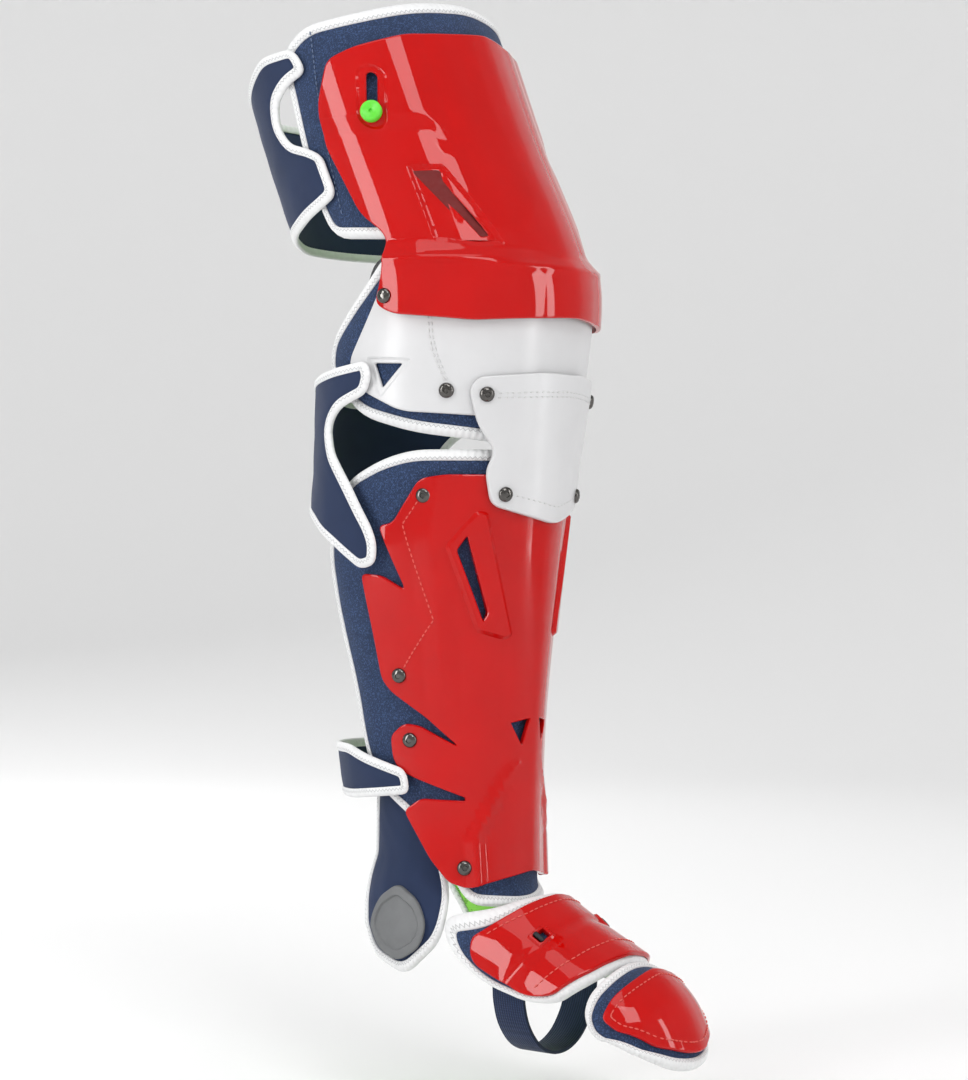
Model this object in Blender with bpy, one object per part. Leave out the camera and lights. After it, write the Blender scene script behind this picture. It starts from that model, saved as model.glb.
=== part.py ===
"""Catcher's leg guard: red shells and white plates on navy pads, with forked straps, built on one leg form.

Metres, +Z up, toe towards -Y. The origin is where the middle of the knee sits in the hollow.
Flat pieces are drawn on an unrolled leg (across, up, out), cut there, and then wrapped round the leg form.
"""

import math
from collections import namedtuple

import bmesh
import bpy
from mathutils import Matrix, Vector

# Sizes of the whole guard
GUARD_HEIGHT = 0.640
KNEE_WIDTH = 0.152
KNEE_DEPTH = 0.164
FOOT_WIDTH = 0.100
UNROLL_RADIUS = (KNEE_WIDTH + KNEE_DEPTH) / 4

# Layers, as distances out from the leg form
PAD_THICKNESS = 0.008
BINDING_WIDTH = 0.0065
BINDING_PROUD = 0.0004
SHELL_THICKNESS = 0.0028
SHELL_GAP = 0.0016
PIECE_GAP = 0.0004
PLATE_GAP = 0.0010
BINDING_GAP = 0.0008
LINER_GAP = 0.0012
GEL_GAP = 0.0022
HOOK_CLEARANCE = 0.0012
STRAP_THICKNESS = 0.0035
STRAP_LIFT = 0.0012
LINER_THICKNESS = 0.011
GEL_THICKNESS = 0.003
PATCH_THICKNESS = 0.0026

SHIN_LINER_THICKNESS = 0.0066
WING_THICKNESS = 0.006

# Corner radii of the outlines
PAD_CORNER = 0.014
LINER_CORNER = 0.014
WING_CORNER = 0.012
FOOT_PAD_CORNER = 0.010
STRAP_CORNER = 0.008
PLATE_CORNER = 0.008
SHELL_CORNER = 0.006
SHIN_CORNER = 0.0045
VENT_CORNER = 0.0015
NOTCH_CORNER = 0.0010

# Steps of the grid that lets a flat piece bend
ANGLE_STEP = 18.0
HEIGHT_STEP = 0.036
FOOT_ANGLE_STEP = 18.0
FOOT_STEP = 0.022

Place = namedtuple("Place", "top height")
# Top and height of each outline, in shares of GUARD_HEIGHT
PLACES = {
    "thigh_pad": Place(0.2750, 0.2344),
    "knee_cap": Place(0.2437, 0.2687),
    "knee_pad": Place(0.0344, 0.1750),
    "knee_plate": Place(0.0125, 0.1266),
    "bridge_plate": Place(-0.0703, 0.1406),
    "shin_pad": Place(-0.1437, 0.4000),
    "shin_shell": Place(-0.1625, 0.3781),
    "knee_liner": Place(0.0469, 0.1531),
    "shin_liner": Place(-0.1906, 0.2063),
    "ankle_wing": Place(-0.4187, 0.2031),
}

# Relief of the shells
KEEL_HEIGHT = 0.0030
KEEL_ANGLE = 18.0
BAND_HEIGHT = 0.0052
PANEL_HEIGHT = 0.0018
FRAME_HEIGHT = 0.0022
WING_FLARE = 0.0115
TONGUE_FLARE = 0.0044
CALF_LIFT_START, CALF_LIFT_END = 210.0, 255.0
BAND_TOP, BAND_FOOT = 0.0422 * GUARD_HEIGHT, 0.0281 * GUARD_HEIGHT
TONGUE_TOP, TONGUE_FOOT = -0.5422 * GUARD_HEIGHT, -0.5578 * GUARD_HEIGHT
FLARE_TOP, FLARE_FOOT = -0.5156 * GUARD_HEIGHT, -0.5781 * GUARD_HEIGHT

# Fasteners
RIVET_DIAMETER = 0.0088
RIVET_HEIGHT = 0.0022
RIVET_SHANK = 0.0036
RIVET_CLEARANCE = 0.0012
KNOB_DIAMETER = 0.0126
KNOB_HEIGHT = 0.0040
KNOB_SHANK = 0.0040
SLOT_LENGTH = 0.030
SLOT_WIDTH = 0.0060
RING_WIDTH = 0.026
RING_DEPTH = 0.016
RING_WIRE = 0.0024
WEBBING_WIDTH = 0.020
WEBBING_LENGTH = 0.016
WEBBING_THICKNESS = 0.0014
HOOK_WIDTH = 0.006
HOOK_LENGTH = 0.024
HOOK_THICKNESS = 0.0018
HOOK_BAR_LENGTH = 0.030
HOOK_BAR_WIDTH = 0.006
BAR_CLEARANCE = 0.0014
FOOT_STRAP_WIDTH = 0.022
FOOT_STRAP_THICKNESS = 0.0020
FOOT_STRAP_INSET = 0.0137
FOOT_STRAP_DROP = 0.043
CUTTER_DEPTH = 0.020

Form = namedtuple("Form", "height half_width front back set_back roundness")
# height in shares of GUARD_HEIGHT, half width of KNEE_WIDTH, the others of KNEE_DEPTH
LEG_FORM = [
    Form(-0.700, 0.325, 0.325, 0.325, 0.000, 2.00),
    Form(-0.656, 0.329, 0.329, 0.329, 0.000, 2.00),
    Form(-0.539, 0.342, 0.341, 0.341, 0.030, 1.90),
    Form(-0.469, 0.349, 0.366, 0.310, 0.055, 1.85),
    Form(-0.375, 0.375, 0.415, 0.345, 0.085, 1.85),
    Form(-0.234, 0.454, 0.488, 0.400, 0.110, 1.95),
    Form(-0.156, 0.467, 0.488, 0.410, 0.073, 2.00),
    Form(-0.078, 0.487, 0.482, 0.450, 0.024, 2.05),
    Form(0.000, 0.500, 0.488, 0.495, 0.006, 2.10),
    Form(0.047, 0.507, 0.500, 0.512, 0.061, 2.10),
    Form(0.141, 0.513, 0.482, 0.500, 0.220, 2.10),
    Form(0.234, 0.520, 0.470, 0.488, 0.360, 2.10),
    Form(0.290, 0.520, 0.470, 0.488, 0.443, 2.10),
]

Ridge = namedtuple("Ridge", "along forward drop half_width side_drop")
# along, forward and drop in shares of GUARD_HEIGHT, the others of FOOT_WIDTH
FOOT_FORM = [
    Ridge(0.000, 0.092, 0.523, 0.500, 0.500),
    Ridge(0.024, 0.108, 0.542, 0.500, 0.480),
    Ridge(0.076, 0.152, 0.569, 0.500, 0.420),
    Ridge(0.127, 0.198, 0.592, 0.490, 0.370),
    Ridge(0.162, 0.229, 0.609, 0.470, 0.370),
    Ridge(0.192, 0.251, 0.630, 0.460, 0.360),
    Ridge(0.221, 0.265, 0.655, 0.440, 0.340),
    Ridge(0.244, 0.273, 0.677, 0.420, 0.310),
    Ridge(0.270, 0.281, 0.702, 0.400, 0.300),
]

# Half outlines: degrees round from the front, share of the piece's height down from its top
THIGH_EDGE = [
    (0, 0.0), (33, 0.03), (58, 0.08), (84, 0.12), (100, 0.22), (103, 0.45), (108, 0.78), (106, 0.96),
    (76, 0.98), (0, 1.0),
]
CAP_EDGE = [
    (0, 0.0), (39, 0.03), (62, 0.08), (74, 0.12), (84, 0.27), (88, 0.41), (86, 0.50), (83, 0.65),
    (74, 0.73), (84, 0.96), (76, 0.995), (44, 1.02), (0, 1.0),
]
KNEE_PAD_EDGE = [
    (0, 0.0), (80, 0.02), (90, 0.12), (106, 0.29), (120, 0.44), (122, 0.60), (95, 0.84), (65, 0.93),
    (29, 0.98), (0, 1.0),
]
PLATE_EDGE = [
    (0, 0.0), (80, 0.0), (87, 0.20), (101, 0.62), (93, 0.80), (71, 0.965), (38, 1.0), (0, 1.0),
]
BRIDGE_EDGE = [
    (0, 0.04), (12, 0.03), (40, 0.07), (43, 0.15), (38, 0.36), (29, 0.54), (32, 0.66), (28, 0.88),
    (0, 1.0),
]
SHIN_PAD_EDGE = [
    (0, 0.0), (64, 0.0), (80, 0.02), (102, 0.07), (114, 0.22), (113, 0.38), (108, 0.55), (106, 0.67),
    (98, 0.76), (68, 0.85), (52, 0.94), (40, 1.03), (0, 1.045),
]
SHELL_EDGE = [
    (0, 0.01), (48, 0.01), (59, 0.02), (69, 0.125), (76, 0.13), (63, 0.285), (75, 0.25), (86, 0.245),
    (83, 0.38), (81, 0.50), (76, 0.53), (57, 0.59), (40, 0.66), (61, 0.61), (70, 0.605), (79, 0.635),
    (79, 0.69), (75, 0.72), (64, 0.74), (38, 0.782), (38, 0.790), (64, 0.785), (75, 0.815), (61, 0.93),
    (51, 0.985), (40, 1.0), (0, 0.965),
]
KNEE_LINER_EDGE = [
    (0, 0.0), (60, 0.02), (92, 0.12), (104, 0.36), (104, 0.62), (84, 0.86), (50, 0.98), (0, 1.0),
]
SHIN_LINER_EDGE = [
    (0, 0.0), (60, 0.0), (98, 0.04), (102, 0.20), (88, 0.62), (72, 0.92), (56, 1.0), (0, 1.0),
]
WING_EDGE = [
    (106, 0.0), (62, 0.06), (60, 0.34), (50, 0.62), (58, 0.84), (84, 1.0), (112, 0.93), (132, 0.64),
    (124, 0.30),
]
PATCH_EDGE = [
    (88, 0.59), (72, 0.66), (66, 0.77), (72, 0.87), (87, 0.935), (103, 0.88), (110, 0.77), (104, 0.66),
]
GEL_EDGE = [(0, 0.20), (34, 0.20), (40, 0.28), (22, 0.58), (8, 0.84), (0, 0.87)]

# Straps run from the right side (90) round the back (180) to the left (270), heights in GUARD_HEIGHT
THIGH_STRAP_EDGE = [
    (119, 0.1891), (150, 0.1844), (200, 0.1830), (232, 0.2062), (250, 0.2234), (271, 0.2266),
    (274, 0.2031), (262, 0.1938), (251, 0.1781), (247, 0.1562), (251, 0.1406), (262, 0.1328),
    (268, 0.1250), (268, 0.0875), (258, 0.0781), (236, 0.0625), (200, 0.0484), (150, 0.0484),
    (126, 0.0391), (115, 0.0469), (111, 0.0656), (114, 0.0844), (130, 0.0938), (140, 0.1062),
    (142, 0.1250), (134, 0.1437), (119, 0.1531),
]
CALF_STRAP_EDGE = [
    (105, -0.0719), (126, -0.0812), (150, -0.0891), (180, -0.0906), (220, -0.0781), (272, -0.0641),
    (275, -0.0766), (273, -0.0938), (258, -0.1062), (252, -0.1219), (256, -0.1437), (269, -0.1750),
    (282, -0.2125), (285, -0.2281), (284, -0.2469), (276, -0.2516), (260, -0.2281), (240, -0.2062),
    (216, -0.1969), (180, -0.1844), (150, -0.1875), (130, -0.2125), (112, -0.2375), (105, -0.2344),
    (105, -0.2156), (122, -0.1844), (130, -0.1531), (122, -0.1281), (105, -0.1062),
]
ANKLE_STRAP_EDGE = [
    (72, -0.4313), (110, -0.4219), (180, -0.4156), (250, -0.4125), (290, -0.4328), (291, -0.4547),
    (250, -0.4625), (180, -0.4656), (110, -0.4719), (72, -0.4750),
]

# Half outlines on the foot: degrees round from the ridge, share of GUARD_HEIGHT along the ridge
INSTEP_PAD_EDGE = [
    (0, 0.024), (44, 0.018), (80, 0.006), (92, 0.018), (96, 0.050), (92, 0.090), (78, 0.116),
    (40, 0.128), (0, 0.131),
]
INSTEP_EDGE = [
    (0, 0.034), (40, 0.030), (72, 0.023), (84, 0.034), (84, 0.090), (74, 0.110), (36, 0.124),
    (0, 0.128),
]
TOE_PAD_EDGE = [
    (0, 0.1298), (56, 0.136), (76, 0.146), (86, 0.172), (80, 0.202), (52, 0.232), (24, 0.248),
    (0, 0.252),
]
TOE_EDGE = [(0, 0.153), (48, 0.158), (66, 0.168), (62, 0.194), (38, 0.224), (12, 0.236), (0, 0.238)]

# Half sag of the foot strap, in shares of its half width and drop, and the place of its ends in GUARD_HEIGHT
FOOT_STRAP_SAG = [(-1.0, 0.0), (-0.98, -0.25), (-0.86, -0.55), (-0.6, -0.82), (-0.3, -0.96), (0.0, -1.0)]
FOOT_STRAP_PLACE = (0.1062, 0.6219)

# Holes of the shells: degrees round, share down
CAP_VENT = [(52, 0.52), (43, 0.52), (31, 0.735), (36, 0.74)]
CAP_PANEL = [(49, 0.11), (46, 0.17), (45, 0.385), (51, 0.405), (81, 0.395), (78, 0.27), (69, 0.16)]
CAP_BAND_RIVET = (79, 0.935)
KNOB_PLACE = (62, 0.310)
SLOT_PLACE = (62, 0.255)
PLATE_HOLE = [(86, 0.62), (72, 0.63), (81, 0.80)]
SHELL_VENT = [(36, 0.155), (40, 0.19), (28, 0.36), (26, 0.34)]
SHELL_FRAME = [(45, 0.18), (33, 0.095), (28, 0.10), (14, 0.395), (18, 0.405), (31, 0.385)]
SHELL_NOTCH = [(13, 0.605), (3, 0.595), (7, 0.66)]
PLATE_RIVET = (52, 0.825)
BRIDGE_RIVETS = [(36, 0.18), (23, 0.81)]
SHELL_RIVETS = [(56, 0.06), (70, 0.49), (67, 0.645), (41, 0.95)]

Hitch = namedtuple("Hitch", "angle height lift")
# Where the straps hook on: degrees round, height in shares of GUARD_HEIGHT, and how far off the form
HITCHES = {
    "thigh_upper": Hitch(101, 0.1750, 0.0009),
    "thigh_lower": Hitch(100, 0.0672, 0.0009),
    "calf_upper": Hitch(83, -0.0875, 0.0052),
    "calf_lower": Hitch(90, -0.2266, 0.0009),
}

COLOURS = {
    "red_shell": ((0.560, 0.004, 0.003, 1.0), 0.0, 0.12),
    "white_shell": ((0.720, 0.720, 0.720, 1.0), 0.0, 0.30),
    "navy_fabric": ((0.028, 0.045, 0.105, 1.0), 0.0, 0.90),
    "navy_strap": ((0.024, 0.040, 0.100, 1.0), 0.0, 0.85),
    "white_binding": ((0.760, 0.760, 0.760, 1.0), 0.0, 0.80),
    "grey_mesh": ((0.040, 0.040, 0.042, 1.0), 0.0, 0.90),
    "green_gel": ((0.250, 0.480, 0.120, 1.0), 0.0, 0.20),
    "green_knob": ((0.120, 0.620, 0.040, 1.0), 0.0, 0.35),
    "grey_rubber": ((0.200, 0.210, 0.215, 1.0), 0.0, 0.60),
    "dark_chrome": ((0.180, 0.175, 0.170, 1.0), 1.0, 0.18),
    "gunmetal": ((0.045, 0.047, 0.050, 1.0), 1.0, 0.40),
    "chrome": ((0.650, 0.650, 0.660, 1.0), 1.0, 0.12),
    "navy_webbing": ((0.020, 0.034, 0.085, 1.0), 0.0, 0.90),
}


def smooth_row(table, place):
    """Row of a table at a place in its first column, on a smooth curve through the rows."""
    place = min(max(place, table[0][0]), table[-1][0])
    k = next(i for i in range(1, len(table)) if place <= table[i][0])
    row_a, row_b = table[k - 1], table[k]
    before, after = table[max(k - 2, 0)], table[min(k + 1, len(table) - 1)]
    span = row_b[0] - row_a[0]
    t = (place - row_a[0]) / span
    values = []
    for c in range(1, len(row_a)):
        slope_a = (row_b[c] - before[c]) / (row_b[0] - before[0]) * span
        slope_b = (after[c] - row_a[c]) / (after[0] - row_a[0]) * span
        if row_b[c] == row_a[c]:
            slope_a = slope_b = 0.0
        values.append(
            (2 * t**3 - 3 * t**2 + 1) * row_a[c]
            + (t**3 - 2 * t**2 + t) * slope_a
            + (3 * t**2 - 2 * t**3) * row_b[c]
            + (t**3 - t**2) * slope_b
        )
    return values


def leg_ring(angle, height):
    """Point of the leg form at an angle round from the front, in degrees, and a height."""
    half_width, front, back, set_back, power = smooth_row(LEG_FORM, height / GUARD_HEIGHT)
    side, ahead = math.sin(math.radians(angle)), math.cos(math.radians(angle))
    depth = (front if ahead >= 0 else back) * KNEE_DEPTH
    reach = ((abs(side) / (half_width * KNEE_WIDTH)) ** power + (abs(ahead) / depth) ** power) ** (-1 / power)
    return Vector((reach * side, set_back * KNEE_DEPTH - reach * ahead, height))


def leg_frame(angle, height):
    """Point on the leg form, its direction round, and its direction out."""
    ahead, behind = leg_ring(angle + 0.5, height), leg_ring(angle - 0.5, height)
    round_way = (ahead - behind).normalized()
    return leg_ring(angle, height), round_way, Vector((round_way.y, -round_way.x, 0.0))


def fastener_frame(angle, height, lift):
    """Point at a lift over the leg form, with the direction out square to the surface."""
    point, round_way, level = leg_frame(angle, height)
    point += level * lift
    upward = (leg_ring(angle, height + 0.004) - leg_ring(angle, height - 0.004)).normalized()
    out = round_way.cross(upward).normalized()
    return point, round_way, out


def on_leg(distance, height, lift):
    """Place on the leg of a point of the unrolled sheet."""
    angle = math.degrees(distance / UNROLL_RADIUS)
    point, _, out = leg_frame(angle, height)
    return point + out * lift


def ridge_point(along):
    """Point of the ridge of the foot, with the half width and the drop of its sides."""
    forward, drop, half_width, side_drop = smooth_row(FOOT_FORM, along / GUARD_HEIGHT)
    point = Vector((0.0, -forward * GUARD_HEIGHT, -drop * GUARD_HEIGHT))
    return point, half_width * FOOT_WIDTH, side_drop * FOOT_WIDTH


def foot_arch(angle, along):
    point, half_width, side_drop = ridge_point(along)
    tangent = (ridge_point(along + 0.002)[0] - ridge_point(along - 0.002)[0]).normalized()
    down = Vector((0.0, -tangent.z, tangent.y)) * (1 if tangent.y < 0 else -1)
    turn = math.radians(angle)
    return point + Vector((half_width * math.sin(turn), 0, 0)) + down * side_drop * (1 - math.cos(turn))


def foot_frame(angle, along):
    """Point on the foot form, its direction round, and its direction out."""
    round_way = (foot_arch(angle + 0.5, along) - foot_arch(angle - 0.5, along)).normalized()
    forward = (foot_arch(angle, along + 0.001) - foot_arch(angle, along - 0.001)).normalized()
    out = forward.cross(round_way).normalized()
    return foot_arch(angle, along), round_way, out if out.z > 0 or abs(angle) > 70 else -out


def on_foot(distance, along, lift):
    """Place on the foot of a point of the unrolled sheet."""
    angle = math.degrees(distance / (FOOT_WIDTH / 2))
    point, _, out = foot_frame(angle, along)
    return point + out * lift


def across(angle, radius=UNROLL_RADIUS):
    return math.radians(angle) * radius


def mirrored(half):
    """Whole outline from a half outline that starts and ends on the centre line."""
    return half + [(-angle, share) for angle, share in reversed(half[1:-1])]


def flip(outline):
    return [(-angle, share) for angle, share in reversed(outline)]


def level(piece, share):
    """Height of a place on a piece, from its share down the piece."""
    return (PLACES[piece].top - share * PLACES[piece].height) * GUARD_HEIGHT


def laid_out(outline, piece):
    """Outline in flat metres from degrees and shares of a piece's height."""
    return [Vector((across(angle), level(piece, share))) for angle, share in outline]


def laid_on_foot(outline):
    """Outline in flat metres on the unrolled foot."""
    return [Vector((across(a, FOOT_WIDTH / 2), share * GUARD_HEIGHT)) for a, share in mirrored(outline)]


def rounded(points, radius, steps=1):
    """Flat outline with its corners rounded."""
    ring = []
    for k, corner in enumerate(points):
        before, after = points[k - 1], points[(k + 1) % len(points)]
        back, on = before - corner, after - corner
        cut = min(radius, 0.45 * back.length, 0.45 * on.length)
        start, end = corner + back.normalized() * cut, corner + on.normalized() * cut
        for n in range(steps + 1):
            t = n / steps
            ring.append(start * (1 - t) ** 2 + corner * 2 * t * (1 - t) + end * t**2)
    return ring


def area(points):
    return 0.5 * sum(a.x * b.y - a.y * b.x for a, b in zip(points, points[1:] + points[:1]))


def inset(points, distance):
    """Flat outline moved inwards by a distance."""
    sign = 1 if area(points) > 0 else -1
    ring = []
    for k, corner in enumerate(points):
        first = (corner - points[k - 1]).normalized()
        second = (points[(k + 1) % len(points)] - corner).normalized()
        normal = Vector((-first.y - second.y, first.x + second.x)) * sign
        normal.normalize()
        side = Vector((-first.y, first.x)) * sign
        ring.append(corner + normal * distance / max(normal.dot(side), 0.5))
    return ring


def local_stretch(angle, height, frame):
    """How much longer the form is round than the unrolled sheet, at a place."""
    ahead, behind = frame(angle + 0.5, height)[0], frame(angle - 0.5, height)[0]
    return (ahead - behind).length / math.radians(1.0) / UNROLL_RADIUS


def round_hole(angle, height, diameter, frame=leg_frame, sides=6):
    stretch = local_stretch(angle, height, frame)
    centre = Vector((across(angle), height))
    ring = []
    for k in range(sides):
        turn = 2 * math.pi * (k + (0.3 if angle > 0 else 0.0)) / sides
        ring.append(centre + Vector((math.cos(turn) / stretch, math.sin(turn))) * diameter / 2)
    return ring


def slot_ring(angle, height, length, width):
    """Upright stadium outline."""
    centre = Vector((across(angle), height))
    ring = []
    for k in range(12):
        turn = math.pi * k / 5 if k < 6 else math.pi * (k - 1) / 5
        shift = (length - width) / 2 * (1 if k < 6 else -1)
        ring.append(centre + Vector((math.cos(turn) * width / 2, math.sin(turn) * width / 2 + shift)))
    return ring


def set_material(obj, material):
    colour, metallic, roughness = COLOURS[material]
    mat = bpy.data.materials.get(material)
    if mat is None:
        mat = bpy.data.materials.new(material)
        mat.use_nodes = True
        shader = mat.node_tree.nodes["Principled BSDF"]
        shader.inputs["Base Color"].default_value = colour
        shader.inputs["Metallic"].default_value = metallic
        shader.inputs["Roughness"].default_value = roughness
        mat.diffuse_color = colour
    obj.data.materials.clear()
    obj.data.materials.append(mat)


def add_object(name, mesh, material):
    obj = bpy.data.objects.new(name, mesh)
    guard.objects.link(obj)
    set_material(obj, material)
    return obj


def flat_plate(name, rings, low, high, merge=True):
    """Closed flat plate from an outline and its holes, between two distances out."""
    curve = bpy.data.curves.new(name, "CURVE")
    curve.dimensions = "2D"
    curve.fill_mode = "BOTH"
    curve.extrude = (high - low) / 2
    for ring in rings:
        spline = curve.splines.new("POLY")
        spline.points.add(len(ring) - 1)
        for point, place in zip(spline.points, ring):
            point.co = (place.x, place.y, 0.0, 1.0)
        spline.use_cyclic_u = True
    holder = bpy.data.objects.new(name, curve)
    guard.objects.link(holder)
    bpy.context.view_layer.update()
    mesh = bpy.data.meshes.new_from_object(holder)
    bpy.data.objects.remove(holder)
    bpy.data.curves.remove(curve)
    bm = bmesh.new()
    bm.from_mesh(mesh)
    bmesh.ops.remove_doubles(bm, verts=bm.verts, dist=1e-6)
    bmesh.ops.translate(bm, verts=bm.verts, vec=(0, 0, (low + high) / 2))
    if merge:
        bmesh.ops.dissolve_limit(bm, angle_limit=0.01, verts=bm.verts, edges=bm.edges)
    bm.to_mesh(mesh)
    bm.free()
    mesh.name = name
    return mesh


def join_flat(mesh, others, operation="UNION"):
    """Flat mesh with others added or cut away."""
    base = bpy.data.objects.new("flat_base", mesh)
    guard.objects.link(base)
    for other in others:
        tool = bpy.data.objects.new("flat_tool", other)
        cutters.objects.link(tool)
        tool.hide_render = True
        tool.display_type = "WIRE"
        modifier = base.modifiers.new("join", "BOOLEAN")
        modifier.operation = operation
        modifier.solver = "EXACT"
        modifier.object = tool
    bpy.context.view_layer.update()
    result = bpy.data.meshes.new_from_object(base.evaluated_get(bpy.context.evaluated_depsgraph_get()))
    bpy.data.objects.remove(base)
    for tool in list(cutters.objects):
        bpy.data.objects.remove(tool)
    bm = bmesh.new()
    bm.from_mesh(result)
    bmesh.ops.remove_doubles(bm, verts=bm.verts, dist=1e-5)
    bm.to_mesh(result)
    bm.free()
    return result


def cut_through(mesh, rings):
    """Flat mesh with holes of these outlines through it."""
    tools = [flat_plate("hole", [ring], -CUTTER_DEPTH, CUTTER_DEPTH) for ring in rings]
    return join_flat(mesh, tools, "DIFFERENCE")


def face_outwards(bm):
    bmesh.ops.recalc_face_normals(bm, faces=bm.faces)
    if bm.calc_volume(signed=True) < 0:
        bmesh.ops.reverse_faces(bm, faces=bm.faces)


def wrap(name, mesh, material, place, steps, creases=(), relief=None, smooth=35.0):
    """Cut a flat piece along a grid and its creases, and bend it onto a form."""
    bm = bmesh.new()
    bm.from_mesh(mesh)
    xs, ys = [v.co.x for v in bm.verts], [v.co.y for v in bm.verts]
    cuts = [(Vector((across(a), 0, 0)), Vector((1, 0, 0))) for a in creases if not isinstance(a, tuple)]
    cuts += [(Vector((0, a[0], 0)), Vector((0, 1, 0))) for a in creases if isinstance(a, tuple)]
    for low, high, step, axis in ((min(xs), max(xs), steps[0], 0), (min(ys), max(ys), steps[1], 1)):
        for k in range(math.floor(low / step), math.ceil(high / step) + 1):
            spot, way = Vector((0, 0, 0)), Vector((0, 0, 0))
            spot[axis], way[axis] = k * step, 1.0
            cuts.append((spot, way))
    for spot, way in cuts:
        everything = bm.verts[:] + bm.edges[:] + bm.faces[:]
        bmesh.ops.bisect_plane(bm, geom=everything, dist=4e-4, plane_co=spot, plane_no=way)
    bmesh.ops.triangulate(bm, faces=[f for f in bm.faces if len(f.verts) > 4], ngon_method="EAR_CLIP")
    for vert in bm.verts:
        lift = vert.co.z
        if relief:
            lift += relief(math.degrees(vert.co.x / UNROLL_RADIUS), vert.co.y)
        vert.co = place(vert.co.x, vert.co.y, lift)
    face_outwards(bm)
    new_mesh = bpy.data.meshes.new(name)
    bm.to_mesh(new_mesh)
    bm.free()
    for polygon in new_mesh.polygons:
        polygon.use_smooth = True
    obj = add_object(name, new_mesh, material)
    new_mesh.set_sharp_from_angle(angle=math.radians(smooth))
    return obj


LEG_STEPS = (across(ANGLE_STEP), HEIGHT_STEP)
FOOT_STEPS = (across(FOOT_ANGLE_STEP, FOOT_WIDTH / 2), FOOT_STEP)


def ramp(value, low, high):
    return min(max((value - low) / (high - low), 0.0), 1.0)


def keel(angle, height):
    return KEEL_HEIGHT * max(1 - abs(angle) / KEEL_ANGLE, 0.0)


def cap_relief(angle, height):
    return BAND_HEIGHT * ramp(height, BAND_TOP, BAND_FOOT) + keel(angle, height)


def tongue_relief(angle, height):
    return TONGUE_FLARE * ramp(height, TONGUE_TOP, TONGUE_FOOT)


def calf_relief(angle, height):
    return (SHELL_GAP + SHELL_THICKNESS) * ramp(angle, CALF_LIFT_START, CALF_LIFT_END)


def wing_relief(angle, height):
    return WING_FLARE * ramp(height, FLARE_TOP, FLARE_FOOT)


def pad(name, points, radius, place, steps, low, high, creases=(), relief=None):
    """Padded piece inside its binding, and the binding round it."""
    outer = rounded(points, radius)
    inner = rounded(inset(points, BINDING_WIDTH), radius * 0.7)
    core = rounded(inset(points, BINDING_WIDTH + BINDING_GAP), radius * 0.7)
    wrap(name, flat_plate(name, [core], low, high), "navy_fabric", place, steps, creases, relief)
    band = flat_plate(name + "_edge", [outer, inner], low - BINDING_PROUD, high + BINDING_PROUD)
    wrap(name.replace("_pad", "") + "_binding", band, "white_binding", place, steps, creases, relief)


def on_side(point, round_way, out):
    """Turn a piece's own axes so that x runs round, y up and z out."""
    up = out.cross(round_way)
    return Matrix.Translation(point) @ Matrix((round_way, up, out)).transposed().to_4x4()


def turned_profile(name, rows, material, matrix, segments=8):
    """Round piece from rows of radius and height, turned about its own axis."""
    bm = bmesh.new()
    verts = [bm.verts.new((radius, 0, height)) for radius, height in rows]
    edges = [bm.edges.new(pair) for pair in zip(verts, verts[1:])]
    whole = {"cent": (0, 0, 0), "axis": (0, 0, 1), "angle": 2 * math.pi, "use_merge": True}
    bmesh.ops.spin(bm, geom=verts + edges, steps=segments, **whole)
    bmesh.ops.remove_doubles(bm, verts=bm.verts, dist=1e-6)
    face_outwards(bm)
    mesh = bpy.data.meshes.new(name)
    bm.to_mesh(mesh)
    bm.free()
    for polygon in mesh.polygons:
        polygon.use_smooth = True
    obj = add_object(name, mesh, material)
    mesh.set_sharp_from_angle(angle=math.radians(50))
    obj.matrix_world = matrix
    return obj


def rivet(name, angle, height, lift):
    point, round_way, out = fastener_frame(angle, height, lift)
    radius = RIVET_DIAMETER / 2
    rows = [
        (0.0, RIVET_HEIGHT), (radius * 0.6, RIVET_HEIGHT * 0.85), (radius, 0.0003),
        (RIVET_SHANK / 2, 0.0), (RIVET_SHANK / 2, -SHELL_THICKNESS / 2), (0.0, -SHELL_THICKNESS / 2),
    ]
    turned_profile(name, rows, "dark_chrome", on_side(point + out * PIECE_GAP, round_way, out))


def knob(name, angle, height, lift):
    point, round_way, out = fastener_frame(angle, height, lift)
    radius = KNOB_DIAMETER / 2
    rows = [
        (0.0, KNOB_HEIGHT * 0.55), (radius * 0.22, KNOB_HEIGHT * 0.85), (radius * 0.75, KNOB_HEIGHT),
        (radius, KNOB_HEIGHT * 0.5), (radius, 0.0), (KNOB_SHANK / 2, 0.0),
        (KNOB_SHANK / 2, -SHELL_THICKNESS / 2), (0.0, -SHELL_THICKNESS / 2),
    ]
    turned_profile(name, rows, "green_knob", on_side(point + out * PIECE_GAP, round_way, out), segments=10)


def extruded(name, outline, width, material, matrix, extra=()):
    """Piece of one side profile, with plain blocks added to it as (centre, size) pairs."""
    mesh = flat_plate(name, [outline], -width / 2, width / 2, merge=False)
    blocks = []
    for centre, size in extra:
        bm = bmesh.new()
        bmesh.ops.create_cube(bm, size=1.0, matrix=Matrix.Translation(centre) @ Matrix.Diagonal((*size, 1.0)))
        block = bpy.data.meshes.new("block")
        bm.to_mesh(block)
        bm.free()
        blocks.append(block)
    if blocks:
        mesh = join_flat(mesh, blocks)
    obj = add_object(name, mesh, material)
    obj.matrix_world = matrix
    return obj


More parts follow.
